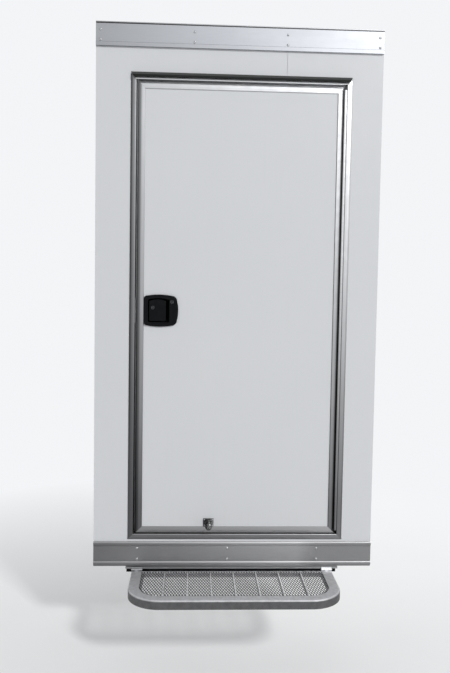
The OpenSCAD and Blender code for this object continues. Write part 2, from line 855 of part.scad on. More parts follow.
module step_nosing() {
    color(aluminium)
        translate([step_x - step_w/2 + rim_r, rim_front, step_top])
            rotate([90, 0, 90])
                linear_extrude(height = step_w - 2*rim_r)
                    rim_section();
}

// Rear bar: an angle between the arms whose foot carries the mesh, notched over the arms' ledges
module tread_rear_bar() {
    foot_z = step_top - mesh_drop - mesh_t;
    foot_y = rim_rear - rear_bar_t - ledge_w;
    color(aluminium)
        difference() {
            bar_along_x(step_x - tread_w/2, step_x + tread_w/2)
                polygon([[rim_rear, step_top], [rim_rear, step_top - bar_h],
                         [rim_rear - rear_bar_t, step_top - bar_h],
                         [rim_rear - rear_bar_t, foot_z - rim_wall], [foot_y, foot_z - rim_wall],
                         [foot_y, foot_z], [rim_rear - rear_bar_t, foot_z],
                         [rim_rear - rear_bar_t, step_top]]);
            for (side = [-1, 1])
                translate([step_x + side*tread_w/2, foot_y - e, foot_z - rim_wall])
                    mirror([side > 0 ? 1 : 0, 0, 0])
                        translate([-e, 0, 0])
                            cube([ledge_w + e, rim_rear - foot_y + 2*e, rim_wall]);
        }
}

// Bars from the rear bar to the nosing, notched over the ledges that carry them
module tread_bars() {
    ledge_top = step_top - mesh_drop - mesh_t;
    y0 = tread_front;
    y1 = rim_rear - rear_bar_t;
    color(bright)
        for (k = [0 : tread_bays - 1]) {
            x = step_x - tread_w/2 + bar_t/2 + k*tread_pitch;
            if (k > 0)
                bar_along_x(x - bar_t/2, x + bar_t/2)
                    polygon([[y0, step_top], [y0, ledge_top], [y0 + ledge_w + 1, ledge_top],
                             [y0 + ledge_w + 1, step_top - bar_h], [y1 - ledge_w - 1, step_top - bar_h],
                             [y1 - ledge_w - 1, ledge_top], [y1, ledge_top], [y1, step_top]]);
        }
}

// Outline of the tread inside the rim, seen from above
module tread_outline() {
    r = rim_r - rim_w - mesh_play;
    x = tread_w/2 - mesh_play;
    union() {
        translate([step_x - x, tread_front + mesh_play + r])
            square([2*x, rim_rear - rear_bar_t - tread_front - 2*mesh_play - r]);
        translate([step_x - x + r, tread_front + mesh_play])
            square([2*x - 2*r, r + 1]);
        for (side = [-1, 1])
            translate([step_x + side*(x - r), tread_front + mesh_play + r])
                circle(r);
    }
}

// Expanded metal between two bars: staggered diamonds cut through the sheet
module mesh_panel(bay_no) {
    x0 = step_x - tread_w/2 + bay_no*tread_pitch + (bay_no > 0 ? bar_t : 0) + mesh_play;
    x1 = step_x - tread_w/2 + (bay_no + 1)*tread_pitch - mesh_play;
    y0 = tread_front + mesh_play;
    y1 = rim_rear - rear_bar_t - mesh_play;
    cell_w = (x1 - x0 - 2*mesh_border)/cells_across;
    rows = floor(2*(y1 - y0 - 2*mesh_border)/cell_l) - 1;
    edge_y = (y1 - y0 - (rows + 1)*cell_l/2)/2;
    keep = 1 - strand_share;
    translate([0, 0, step_top - mesh_drop - mesh_t])
        linear_extrude(height = mesh_t)
            difference() {
                intersection() {
                    translate([x0, y0])
                        square([x1 - x0, y1 - y0]);
                    tread_outline();
                }
                for (j = [0 : rows - 1])
                    for (i = [0 : cells_across - 1 - j%2])
                        let (cx = x0 + mesh_border + (i + 0.5 + 0.5*(j%2))*cell_w,
                             cy = y0 + edge_y + (j + 1)*cell_l/2)
                            if (inside_tread(cx, cy, cell_w/2))
                                translate([cx, cy])
                                    polygon([[-keep*cell_w/2, 0], [0, -keep*cell_l/2],
                                             [keep*cell_w/2, 0], [0, keep*cell_l/2]]);
            }
}

// A diamond is cut only where the corner's round leaves a border round it
function inside_tread(x, y, half) =
    let (r = rim_r - rim_w - mesh_play - mesh_border,
         dx = abs(x - step_x) + half - (tread_w/2 - mesh_play - mesh_border - r),
         dy = tread_front + mesh_play + mesh_border + r - (y - cell_l/2))
    dx <= 0 || dy <= 0 || norm([dx, dy]) < r;

module tread_mesh(first, last) {
    color(aluminium)
        for (k = [first : last])
            mesh_panel(k);
}

skin(wall_l, -rough_x, sole_z, top_rail_top);  // skin_left
skin(rough_x, wall_r, sole_z, top_rail_top);  // skin_right
skin(-rough_x, seam_x - seam_gap/2, rough_top, top_rail_top);  // skin_over_left
skin(seam_x + seam_gap/2, rough_x, rough_top, top_rail_top);  // skin_over_right
skin(-rough_x, rough_x, sole_z, rough_low);  // skin_sill
wall_posts();
wall_plates();
lining_sides();
lining_ends();
top_rail();
roof_edge();
bottom_rail();
drip_cap();
frame_left();
color(aluminium) frame_side(270);  // frame_right
color(aluminium) frame_side(180);  // frame_head
color(aluminium) frame_side(0);  // frame_sill
inner_ring();
door_seal();
hinge_plate(1, 1);  // hinge_fixed_plate
hinge_pin();
strike_plate();
step_mount_bar();
step_hinge_lugs();
step_hinge_pins();
leaf_trim_left();
color(aluminium) leaf_trim(270);  // leaf_trim_right
color(aluminium) leaf_trim(180);  // leaf_trim_top
color(aluminium) leaf_trim(0);  // leaf_trim_bottom
outer_panel();
leaf_core();
inner_panel();
hinge_plate(-1, 0);  // hinge_moving_plate
latch_housing();
latch_bolt();
inside_handle();
holdback_base();
holdback_plunger();
latch_paddle();
key_plug(plug_x, plug_z, paddle_face);  // paddle_plug
key_plug(bolt_plug_x, bolt_plug_z, panel_y - bezel_proud);  // bolt_plug
color(aluminium) step_arm(-1);  // step_arm_left
color(aluminium) step_arm(1);  // step_arm_right
step_nosing();
step_hinge_plates();
tread_bars();
tread_rear_bar();
tread_mesh(0, floor(tread_bays/2) - 1);  // tread_mesh_left
tread_mesh(floor(tread_bays/2), tread_bays - 1);  // tread_mesh_right
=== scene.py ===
# %% [markdown]
# # A trailer's escape door, dressed
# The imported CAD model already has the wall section, the door and the step in their real places.
# This file gives every piece its finish, adds the screws and the softly formed pieces that a solid
# modeller draws too plainly, and sets up a camera and plain studio light. The scene is in metres,
# and the small pieces are worked out in millimetres. The door's frame of reference: X to the right,
# Y into the trailer, Z up.

import math

import bpy
import numpy as np
from mathutils import Matrix, Vector


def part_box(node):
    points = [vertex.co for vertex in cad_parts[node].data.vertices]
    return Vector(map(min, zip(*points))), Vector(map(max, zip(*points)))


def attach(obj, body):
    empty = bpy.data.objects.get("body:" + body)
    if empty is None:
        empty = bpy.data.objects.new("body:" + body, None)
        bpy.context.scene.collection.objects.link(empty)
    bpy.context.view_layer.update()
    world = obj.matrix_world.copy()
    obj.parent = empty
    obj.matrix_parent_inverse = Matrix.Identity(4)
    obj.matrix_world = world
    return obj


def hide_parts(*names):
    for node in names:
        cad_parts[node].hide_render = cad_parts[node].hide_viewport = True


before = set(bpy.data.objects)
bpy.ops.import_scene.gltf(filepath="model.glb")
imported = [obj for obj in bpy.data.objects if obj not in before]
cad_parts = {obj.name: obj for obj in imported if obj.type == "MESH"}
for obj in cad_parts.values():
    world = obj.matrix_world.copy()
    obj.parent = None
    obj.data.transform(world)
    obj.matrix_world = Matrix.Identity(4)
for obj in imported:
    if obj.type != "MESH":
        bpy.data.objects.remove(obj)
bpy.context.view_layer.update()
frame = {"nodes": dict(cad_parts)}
nodes = frame["nodes"]

# %% [markdown]
# ## Places from the frame
# The new pieces sit where the CAD has theirs. So their places and sizes are read from the CAD
# pieces' boxes, in millimetres and to a tenth, and only what no box tells is written as a number.

# %% Places from the frame
mm = 0.001
X, Y, Z = 0, 1, 2
LOW, HIGH = 0, 1


def edge(node, side, axis):
    """Where a CAD piece's box begins (LOW) or ends (HIGH) along an axis, in millimetres."""
    return round(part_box(node)[side][axis] / mm, 1)


def middle_of(node, axis):
    """The middle of a CAD piece's box along an axis, in millimetres."""
    low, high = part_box(node)
    return round((low[axis] + high[axis]) / 2 / mm, 1)


def size_of(node, axis):
    """The length of a CAD piece's box along an axis, in millimetres."""
    low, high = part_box(node)
    return round((high[axis] - low[axis]) / mm, 1)


# %% [markdown]
# ## The camera
# The photograph was taken from a little left of the door, three metres away, with a normal lens. The
# lines of the door frame and the spacing of the wall posts fix where the camera stood and how it was
# turned, so the numbers below are a measured place and three small turns.

# %% Camera
PHOTO_H, FOCAL_PX = 673, 720
EYE = Vector((-0.2041, -3.2010, 1.1975))
YAW, PITCH, ROLL = 0.0451, 0.0588, 0.0158


def photo_camera():
    """Places the camera at EYE. The rows of its turn are right, down and ahead.

    Turn = roll about the line of sight, after pitch about X, after a swap of axes, after yaw about Z.
    """
    yaw = np.array([[math.cos(YAW), -math.sin(YAW), 0], [math.sin(YAW), math.cos(YAW), 0], [0, 0, 1]])
    swap = np.array([[1, 0, 0], [0, 0, -1], [0, 1, 0]])
    cos_pitch, sin_pitch = math.cos(PITCH), math.sin(PITCH)
    pitch = np.array([[1, 0, 0], [0, cos_pitch, -sin_pitch], [0, sin_pitch, cos_pitch]])
    roll = np.array([[math.cos(ROLL), -math.sin(ROLL), 0], [math.sin(ROLL), math.cos(ROLL), 0], [0, 0, 1]])
    right, down, ahead = roll @ pitch @ swap @ yaw
    data = bpy.data.cameras.new("photo_camera")
    data.sensor_fit = "VERTICAL"
    data.sensor_height = 36
    data.lens = FOCAL_PX / PHOTO_H * data.sensor_height
    camera = bpy.data.objects.new("photo_camera", data)
    bpy.context.scene.collection.objects.link(camera)
    turn = Matrix([[right[i], -down[i], -ahead[i]] for i in range(3)])
    camera.matrix_world = Matrix.Translation(EYE) @ turn.to_4x4()
    bpy.context.scene.camera = camera
    return camera


camera = photo_camera()
print("lens", round(camera.data.lens, 2), "mm, at", tuple(camera.location))

# %% [markdown]
# ## Light and ground
# A high, soft key light from the right gives the door its small shadows to the left and below, as
# the sun does in the photograph. A pale world fills the rest. The ground is a plain pale sheet
# under the step that catches a shadow.

# %% Lamps, world and ground
scene = bpy.context.scene
scene.view_settings.view_transform = "Standard"
AIM = Vector((0.0, 0.0, 1.1))
SEEN_COLOUR = (0.90, 0.91, 0.93)
FILL_COLOUR, FILL_STRENGTH = (0.96, 0.98, 1.0), 0.46


def soft_lamp(name, place, size, power):
    """A square area lamp at a place, turned to face the middle of the door."""
    data = bpy.data.lights.new(name, "AREA")
    data.shape = "SQUARE"
    data.size = size
    data.energy = power
    lamp = bpy.data.objects.new(name, data)
    scene.collection.objects.link(lamp)
    lamp.location = place
    lamp.rotation_euler = (AIM - Vector(place)).to_track_quat("-Z", "Y").to_euler()


soft_lamp("key", (9.6, -15.0, 12.2), 2.4, 2560)
soft_lamp("back_fill", (1.5, 4.5, 3.0), 3.0, 110)


def pale_world():
    """The world lights matt surfaces evenly; the camera, and mirrors and glass, see it pale."""
    world = bpy.data.worlds.new("studio")
    scene.world = world
    world.use_nodes = True
    tree = world.node_tree
    tree.nodes.clear()
    out = tree.nodes.new("ShaderNodeOutputWorld")
    light = tree.nodes.new("ShaderNodeBackground")
    light.inputs["Color"].default_value = (*FILL_COLOUR, 1)
    light.inputs["Strength"].default_value = FILL_STRENGTH
    seen = tree.nodes.new("ShaderNodeBackground")
    seen.inputs["Color"].default_value = (*SEEN_COLOUR, 1)
    seen.inputs["Strength"].default_value = 1.0
    path = tree.nodes.new("ShaderNodeLightPath")
    either = tree.nodes.new("ShaderNodeMath")
    either.operation = "MAXIMUM"
    any_of = tree.nodes.new("ShaderNodeMath")
    any_of.operation = "MAXIMUM"
    mix = tree.nodes.new("ShaderNodeMixShader")
    tree.links.new(path.outputs["Is Camera Ray"], either.inputs[0])
    tree.links.new(path.outputs["Is Glossy Ray"], either.inputs[1])
    tree.links.new(either.outputs[0], any_of.inputs[0])
    tree.links.new(path.outputs["Is Transmission Ray"], any_of.inputs[1])
    tree.links.new(any_of.outputs[0], mix.inputs[0])
    tree.links.new(light.outputs[0], mix.inputs[1])
    tree.links.new(seen.outputs[0], mix.inputs[2])
    tree.links.new(mix.outputs[0], out.inputs[0])


pale_world()

# %% [markdown]
# ## Making materials
# Each finish is a small tree of nodes round one Principled shader. The helper below keeps them
# short: it makes the shader, and its methods add a noise, a ramp or a bump where one is wanted.
# Patterns are measured in metres on the piece, through its Object coordinates, so a grain has the
# same real size on a screw and on a rail.


# %% Material helper
class Finish:
    """One material. Constants go on the shader's own sockets; noises drive colour, roughness and bump."""

    def __init__(self, name, base, metallic=0.0, roughness=0.5, **sockets):
        self.material = bpy.data.materials.new(name)
        self.material.use_nodes = True
        self.tree = self.material.node_tree
        self.shader = self.tree.nodes["Principled BSDF"]
        self.shader.inputs["Base Color"].default_value = (*base, 1)
        self.shader.inputs["Metallic"].default_value = metallic
        self.shader.inputs["Roughness"].default_value = roughness
        for key, value in sockets.items():
            self.shader.inputs[key.replace("_", " ")].default_value = value
        self.base = base
        self.coordinates = self.tree.nodes.new("ShaderNodeTexCoord")
        self.material.diffuse_color = (*base, 1)

    def place(self, stretch=(1, 1, 1)):
        """Object coordinates times a stretch along each axis: a large number is a fine pattern."""
        mapping = self.tree.nodes.new("ShaderNodeMapping")
        mapping.inputs["Scale"].default_value = stretch
        self.tree.links.new(self.coordinates.outputs["Object"], mapping.inputs["Vector"])
        return mapping.outputs["Vector"]

    def noise(self, scale, detail=3.0, stretch=(1, 1, 1), rough=0.5):
        """Cloudy noise with features about 1/scale metres across, before the stretch."""
        node = self.tree.nodes.new("ShaderNodeTexNoise")
        node.inputs["Scale"].default_value = scale
        node.inputs["Detail"].default_value = detail
        node.inputs["Roughness"].default_value = rough
        self.tree.links.new(self.place(stretch), node.inputs["Vector"])
        return node.outputs["Fac"]

    def cells(self, scale):
        """Distance to the nearest of many scattered points, about 1/scale metres apart: grains and pores."""
        node = self.tree.nodes.new("ShaderNodeTexVoronoi")
        node.inputs["Scale"].default_value = scale
        self.tree.links.new(self.place(), node.inputs["Vector"])
        return node.outputs["Distance"]

    def ramp(self, value, low, high, out_low, out_high):
        """A straight map from low..high to out_low..out_high, held at both ends."""
        node = self.tree.nodes.new("ShaderNodeMapRange")
        node.inputs["From Min"].default_value = low
        node.inputs["From Max"].default_value = high
        node.inputs["To Min"].default_value = out_low
        node.inputs["To Max"].default_value = out_high
        self.tree.links.new(value, node.inputs["Value"])
        return node.outputs["Result"]

    def part_of(self, output, axis):
        """One of the three numbers of a vector output, along X, Y or Z."""
        node = self.tree.nodes.new("ShaderNodeSeparateXYZ")
        self.tree.links.new(self.coordinates.outputs[output], node.inputs[0])
        return node.outputs[axis]

    def mixed(self, value, other, blend):
        """Base colour runs from what it is now to its blend with another as value runs from 0 to 1."""
        node = self.tree.nodes.new("ShaderNodeMix")
        node.data_type = "RGBA"
        node.blend_type = blend
        socket = self.shader.inputs["Base Color"]
        if socket.is_linked:
            self.tree.links.new(socket.links[0].from_socket, node.inputs["A"])
        else:
            node.inputs["A"].default_value = (*self.base, 1)
        node.inputs["B"].default_value = (*other, 1)
        self.tree.links.new(value, node.inputs["Factor"])
        self.tree.links.new(node.outputs["Result"], socket)

    def tint(self, value, other):
        """Base colour runs from what it is now to another colour as value runs from 0 to 1."""
        self.mixed(value, other, "MIX")

    def darken(self, value, share):
        """Base colour times a number that runs from 1 to share as value runs from 0 to 1."""
        self.mixed(value, (share, share, share), "MULTIPLY")

    def sum_of(self, a, b):
        """a + b, held at 1."""
        node = self.tree.nodes.new("ShaderNodeMath")
        node.operation = "ADD"
        node.use_clamp = True
        self.tree.links.new(a, node.inputs[0])
        self.tree.links.new(b, node.inputs[1])
        return node.outputs[0]

    def gloss(self, value):
        """Roughness follows value: 0 is a mirror, 1 is chalk."""
        self.tree.links.new(value, self.shader.inputs["Roughness"])

    def bump(self, value, depth, strength=1.0):
        """Raises the surface by value times depth in metres, on top of the bumps before it."""
        node = self.tree.nodes.new("ShaderNodeBump")
        node.inputs["Distance"].default_value = depth
        node.inputs["Strength"].default_value = strength
        self.tree.links.new(value, node.inputs["Height"])
        socket = self.shader.inputs["Normal"]
        if socket.is_linked:
            self.tree.links.new(socket.links[0].from_socket, node.inputs["Normal"])
        self.tree.links.new(node.outputs["Normal"], socket)


# %% [markdown]
# ## Painted sheet
# The wall and the door are covered with aluminium sheet that was painted on a long line before it
# was cut. It is smooth and glossy, but a thin sheet on posts is never quite flat: it swells and
# dips by tenths of a millimetre over a hand's width, which a bump of very large features shows.
# Faint vertical runs of dust finish it.

# %% Painted sheet
def painted_sheet():
    """Off-white paint: broad clouds, faint runs of dust, and a roughness from 0.30 up.

    Below about 0.27 the denoiser treats a surface as a mirror, and a noise that crosses that line
    leaves specks on a large plain surface.
    """
    f = Finish("painted_sheet", (0.625, 0.634, 0.648), roughness=0.34, Coat_Weight=0.15)
    clouds = f.noise(1.6, detail=2)
    f.tint(f.ramp(clouds, 0.35, 0.65, 0.0, 0.55), (0.610, 0.620, 0.638))
    runs = f.noise(9.0, detail=4, stretch=(6, 6, 0.35))
    f.tint(f.ramp(runs, 0.58, 0.80, 0.0, 0.16), (0.570, 0.574, 0.575))
    f.gloss(f.ramp(f.noise(22, detail=4), 0.3, 0.7, 0.30, 0.42))
    f.bump(f.noise(2.6, detail=1, stretch=(1.5, 1.5, 0.8)), 0.0020, 0.35)
    f.bump(f.noise(700, detail=2), 0.00005, 0.25)
    return f.material


PAINTED = painted_sheet()

# %% [markdown]
# ## Drawn aluminium
# Frame, trim and rails are extrusions: the metal was pushed through a die, which leaves fine lines
# along the bar and nothing across it. A noise that is stretched a hundred times along one axis
# gives just that. The rest of the colour is painted light. The metal is nearly white at the roof and
# dark grey at the sill, a painted reflection of bright sky above and shaded ground below, and it is
# rather darker on the left, a painted dark reflection. Slopes that face left are darkened, painted
# shadow, and those that face up are whitened, a painted sky sheen. Height, place and the direction
# that a surface faces give those in the shader.

# %% Drawn aluminium, one finish for each direction of the bar
# Heights where the painted reflection on bare aluminium is at its brightest and at its darkest.
BRIGHT_AT, SHADED_AT = 1.95, 0.25
HALF_WALL = 0.60
WHITE, SILVER, PLAIN = (0.93, 0.94, 0.95), (0.59, 0.60, 0.615), (0.50, 0.51, 0.53)


def drawn_aluminium_finish(name, base, along, roughness=0.34, grey=(0.20, 0.20, 0.205), front=0.50,
                           film=0.33, slope=(-0.30, -0.04), uneven=0.05, washed=0.0):
    """Bare extruded aluminium.

    Colour = base at the upper height, running to the low colour at the lower height, a painted
    reflection that darkens towards the sill; by a share towards WHITE where it faces up, a painted sky
    sheen; times a factor that runs from 1 at the wall's right end to front at its left, painted shade;
    times a factor where it faces left beyond slope, painted shadow; then clouds and die lines.
    """
    f = Finish(name, base, metallic=1.0, roughness=roughness)
    fine = [1.0, 1.0, 1.0]
    fine[along] = 0.008
    lines = f.noise(1500, detail=3, stretch=fine)
    broad = [2.0, 2.0, 2.0]
    broad[along] = 0.25
    clouds = f.noise(7, detail=4, stretch=broad)
    # Painted reflection: the colour darkens towards the sill.
    f.tint(f.ramp(f.part_of("Object", Z), SHADED_AT, BRIGHT_AT, 1.0, 0.0), grey)
    # Painted sky sheen: what faces up is whitened.
    if washed:
        f.tint(f.ramp(f.part_of("Normal", Z), 0.20, 0.75, 0.0, washed), WHITE)
    # Painted shade: darker towards the wall's left end.
    f.darken(f.ramp(f.part_of("Object", X), -HALF_WALL, HALF_WALL, 1.0, 0.0), front)
    # Painted shadow: what faces left is darkened.
    f.darken(f.ramp(f.part_of("Normal", X), *slope, 1.0, 0.0), film)
    f.darken(f.ramp(clouds, 0.40, 0.75, 0.0, 1.0), 0.92)
    f.darken(f.ramp(lines, 0.45, 0.75, 0.0, 0.5), 0.80)
    f.gloss(f.ramp(f.noise(30, detail=4), 0.3, 0.7, roughness - uneven, roughness + uneven))
    f.bump(lines, 0.00006, 0.5)
    f.bump(f.ramp(f.cells(260), 0.0, 0.10, 1.0, 0.0), 0.00005, 0.3)
    return f


def drawn_aluminium(*numbers, **named):
    """The same, as a material ready for use."""
    return drawn_aluminium_finish(*numbers, **named).material


RAIL = drawn_aluminium("rail_aluminium", (0.51, 0.523, 0.55), X, 0.52, front=0.66, uneven=0.02)
FRAME_ACROSS = drawn_aluminium(
    "frame_aluminium_across", WHITE, X, grey=(0.26, 0.26, 0.265), front=0.66, washed=0.55)
TRIM_ACROSS = drawn_aluminium(
    "trim_aluminium_across", (0.86, 0.87, 0.88), X, grey=(0.46, 0.46, 0.465), front=0.62)
TRIM_UP = drawn_aluminium("trim_aluminium_upright", WHITE, Z, front=0.62)
HINGE_METAL = drawn_aluminium(
    "hinge_aluminium", (0.95, 0.95, 0.95), Z, film=0.30, slope=(-0.90, -0.45))
POST_METAL = drawn_aluminium("post_aluminium", PLAIN, Z, 0.45, grey=PLAIN, front=1.0, film=1.0)
PLATE_METAL = drawn_aluminium("plate_aluminium", PLAIN, X, 0.45, grey=PLAIN, front=1.0, film=1.0)
STEP_HINGE = drawn_aluminium("step_hinge_aluminium", WHITE, X, 0.42, grey=WHITE, front=0.30)

# %% [markdown]
# ## Bars with painted light and shade of their own
# On some bars more painted light and shade is added: along an edge, on the slope beside the hinge,
# at the roof edge's foot, behind the bottom rail and low down. Each of the next finishes starts from
# the drawn metal and adds that. In a ramp over Object coordinates a number added to an edge is a
# distance from it, and any other is a place in the door's frame, in metres.


# %% Bars with painted light and shade of their own
def left_frame_aluminium():
    """The frame's left upright: darker along its outer edge, a painted shadow, and low down all over, a
    painted dark reflection.
    """
    f = drawn_aluminium_finish("frame_aluminium_left", (0.80, 0.81, 0.82), Z, grey=(0.22, 0.22, 0.225))
    outer_edge = edge("frame_left", LOW, X) * mm
    # Painted shadow along the outer edge.
    f.darken(f.ramp(f.part_of("Object", X), outer_edge + 0.004, outer_edge + 0.026, 1.0, 0.0), 0.36)
    # Painted dark reflection, darker low down.
    f.tint(f.ramp(f.part_of("Object", Z), 0.15, 0.90, 0.8, 0.0), (0.112, 0.112, 0.114))
    return f.material


def right_frame_aluminium():
    """The frame's upright beside the hinge: light, with a painted shadow line along its outer edge."""
    f = drawn_aluminium_finish("frame_aluminium_right", (0.88, 0.89, 0.90), Z)
    outer_edge = edge("frame_right", HIGH, X) * mm
    # Painted shadow line along the outer edge.
    f.darken(f.ramp(f.part_of("Object", X), outer_edge - 0.009, outer_edge - 0.003, 0.0, 1.0), 0.70)
    return f.material


def hinge_side_aluminium():
    """The trim beside the hinge: what faces right is darkened, a painted shadow of the hinge's barrel."""
    f = drawn_aluminium_finish("trim_aluminium_hinge_side", (0.82, 0.83, 0.84), Z, front=0.62)
    # Painted shadow: what faces right, in the barrel's shade, is darkened.
    f.darken(f.ramp(f.part_of("Normal", X), 0.03, 0.20, 0.0, 1.0), 0.16)
    return f.material


def roof_edge_aluminium():
    """The strip over the top rail: its lowest few millimetres are dark, a painted shadow line under its lip.
    """
    f = drawn_aluminium_finish("roof_edge_aluminium", SILVER, X, 0.52, uneven=0.02)
    foot = edge("roof_edge", LOW, Z) * mm
    # Painted shadow line along the foot.
    f.darken(f.ramp(f.part_of("Object", Z), foot + 0.0055, foot + 0.007, 1.0, 0.0), 0.14)
    return f.material


def low_rail_aluminium():
    """The bottom rail: darker towards the left, a painted dark reflection, darker right of X = 0.28, and
    lighter where it faces up, a painted sky sheen.
    """
    f = drawn_aluminium_finish(
        "low_rail_aluminium", WHITE, X, 0.42, grey=(0.455, 0.455, 0.46), front=1.0)
    # Painted dark reflection towards the left.
    f.darken(f.ramp(f.part_of("Object", X), -HALF_WALL, 0.20, 1.0, 0.0), 0.42)
    f.darken(f.ramp(f.part_of("Object", X), 0.28, 0.37, 0.0, 1.0), 0.62)
    # Painted sky sheen where it faces up.
    f.tint(f.ramp(f.part_of("Normal", Z), 0.15, 0.80, 0.0, 0.6), (0.60, 0.60, 0.605))
    return f.material


def mount_bar_aluminium():
    """The mounting angle: its front edge is bare, and behind the rail it is near black, a painted shade."""
    f = drawn_aluminium_finish(
        "mount_bar_aluminium", WHITE, X, 0.42, grey=(0.40, 0.40, 0.405), front=0.7)
    # Painted shade: near black behind the rail.
    f.tint(f.ramp(f.part_of("Object", Y), -0.006, 0.004, 0.0, 1.0), (0.010, 0.010, 0.011))
    return f.material


FRAME_LEFT, FRAME_RIGHT = left_frame_aluminium(), right_frame_aluminium()
ROOF_EDGE = roof_edge_aluminium()
TRIM_HINGE_SIDE = hinge_side_aluminium()
LOW_RAIL = low_rail_aluminium()
MOUNT_BAR = mount_bar_aluminium()

# %% [markdown]
# ## The step's metal
# The step's rim is bead-blasted: an even, sandy surface with small pits, darker where grime sits in
# the grain. Its top is painted light and its sides painted shade, so the colour follows how far a
# surface faces up. The tread is expanded sheet, which is rougher still.

# %% Blasted rim and expanded sheet
def blasted_aluminium():
    """Sandy and even: painted light where it faces up, with grime in the grain."""
    f = Finish("blasted_aluminium", (0.15, 0.15, 0.153), metallic=1.0, roughness=0.55)
    # Painted light: what faces up is lighter, and the sides stay in painted shade.
    f.tint(f.ramp(f.part_of("Normal", Z), 0.15, 0.85, 0.0, 1.0), (0.64, 0.64, 0.65))
    grains = f.noise(900, detail=3, rough=0.6)
    blotches = f.noise(38, detail=6, rough=0.65)
    f.darken(f.ramp(blotches, 0.42, 0.72, 0.0, 1.0), 0.80)
    f.darken(f.ramp(grains, 0.50, 0.72, 0.0, 1.0), 0.75)
    f.gloss(f.ramp(blotches, 0.3, 0.7, 0.48, 0.64))
    f.bump(grains, 0.00035, 0.35)
    f.bump(f.ramp(f.cells(180), 0.0, 0.18, 0.0, 1.0), 0.00020, 0.35)
    return f.material


def expanded_aluminium():
    """Rough slit sheet, scuffed darker in patches a centimetre wide."""
    f = Finish("expanded_aluminium", (0.16, 0.16, 0.163), metallic=1.0, roughness=0.40)
    scuffs = f.noise(120, detail=5, rough=0.7)
    f.tint(f.ramp(scuffs, 0.45, 0.70, 0.0, 0.8), (0.11, 0.11, 0.112))
    f.gloss(f.ramp(scuffs, 0.3, 0.7, 0.30, 0.55))
    f.bump(f.noise(1400, detail=2), 0.00015, 0.4)
    return f.material


def top_lit_bar():
    """Flat bars on edge: their narrow top edges are painted bright, a painted highlight."""
    f = Finish("top_lit_bar", (0.42, 0.42, 0.43), metallic=1.0, roughness=0.42)
    # Painted highlight on the top edges.
    f.tint(f.ramp(f.part_of("Normal", Z), 0.3, 0.9, 0.0, 1.0), (0.95, 0.95, 0.96))
    f.darken(f.ramp(f.noise(90, detail=4), 0.45, 0.75, 0.0, 1.0), 0.75)
    f.bump(f.noise(1400, detail=2), 0.00010, 0.4)
    return f.material


BLASTED = blasted_aluminium()
EXPANDED = expanded_aluminium()
TOP_LIT_BAR = top_lit_bar()

# %% [markdown]
# ## Zinc, plastic, rubber and the rest
# Screws, pins and the strike are zinc plated: a slightly bluish grey with faint yellow clouds. The
# latch is a moulded plastic with a fine leathery grain that breaks up its highlights. The drip cap
# is soft and dusty black. The lining is a washable white board with a pebbled face.

# %% The small finishes
def zinc_plate():
    """Bluish grey with faint yellow clouds."""
    f = Finish("zinc_plate", (0.42, 0.43, 0.45), metallic=1.0, roughness=0.34)
    clouds = f.noise(160, detail=4)
    f.tint(f.ramp(clouds, 0.42, 0.70, 0.0, 0.6), (0.38, 0.37, 0.32))
    f.gloss(f.ramp(clouds, 0.3, 0.7, 0.26, 0.44))
    f.bump(f.noise(2500, detail=2), 0.00003, 0.4)
    return f.material


def grained_plastic():
    """Nearly black, with a leathery grain of cells under a millimetre wide."""
    f = Finish("grained_plastic", (0.0034, 0.0038, 0.0045), roughness=0.38, Specular_IOR_Level=0.08)
    grain = f.cells(1300)
    f.tint(f.ramp(f.noise(60, detail=4), 0.45, 0.75, 0.0, 0.6), (0.007, 0.0075, 0.008))
    f.gloss(f.ramp(f.noise(90, detail=3), 0.3, 0.7, 0.32, 0.46))
    f.bump(f.ramp(grain, 0.0, 0.6, 0.0, 1.0), 0.00010, 0.35)
    return f.material


def holdback_metal():
    """Bright plating over a rough casting, darker on its left side and under it, a painted shade."""
    f = Finish("holdback_metal", (0.34, 0.34, 0.34), metallic=1.0, roughness=0.28)
    rough = f.noise(210, detail=4, rough=0.6)
    # Painted shade and dark reflection: darker where it faces left or down, and towards its left edge.
    f.darken(f.ramp(f.part_of("Normal", X), -0.55, 0.15, 1.0, 0.0), 0.05)
    left, centre = edge("holdback_base", LOW, X) * mm, middle_of("holdback_base", X) * mm
    f.darken(f.ramp(f.part_of("Object", X), left, centre, 1.0, 0.0), 0.06)
    f.darken(f.ramp(f.part_of("Normal", Z), -0.80, -0.10, 1.0, 0.0), 0.15)
    f.darken(f.ramp(rough, 0.44, 0.56, 0.0, 1.0), 0.16)
    f.gloss(f.ramp(rough, 0.3, 0.7, 0.20, 0.44))
    f.bump(rough, 0.0008, 0.6)
    return f.material


def blackened_metal():
    """Dark plugs with lighter spots from a noise, painted glints."""
    f = Finish("blackened_metal", (0.030, 0.031, 0.033), metallic=1.0, roughness=0.30)
    glint_spots = f.noise(400, detail=4)
    # Painted glints: lighter spots from a noise.
    f.tint(f.ramp(glint_spots, 0.48, 0.62, 0.0, 0.8), (0.13, 0.13, 0.135))
    f.gloss(f.ramp(glint_spots, 0.3, 0.7, 0.24, 0.42))
    f.bump(f.noise(2500, detail=2), 0.00003, 0.4)
    return f.material


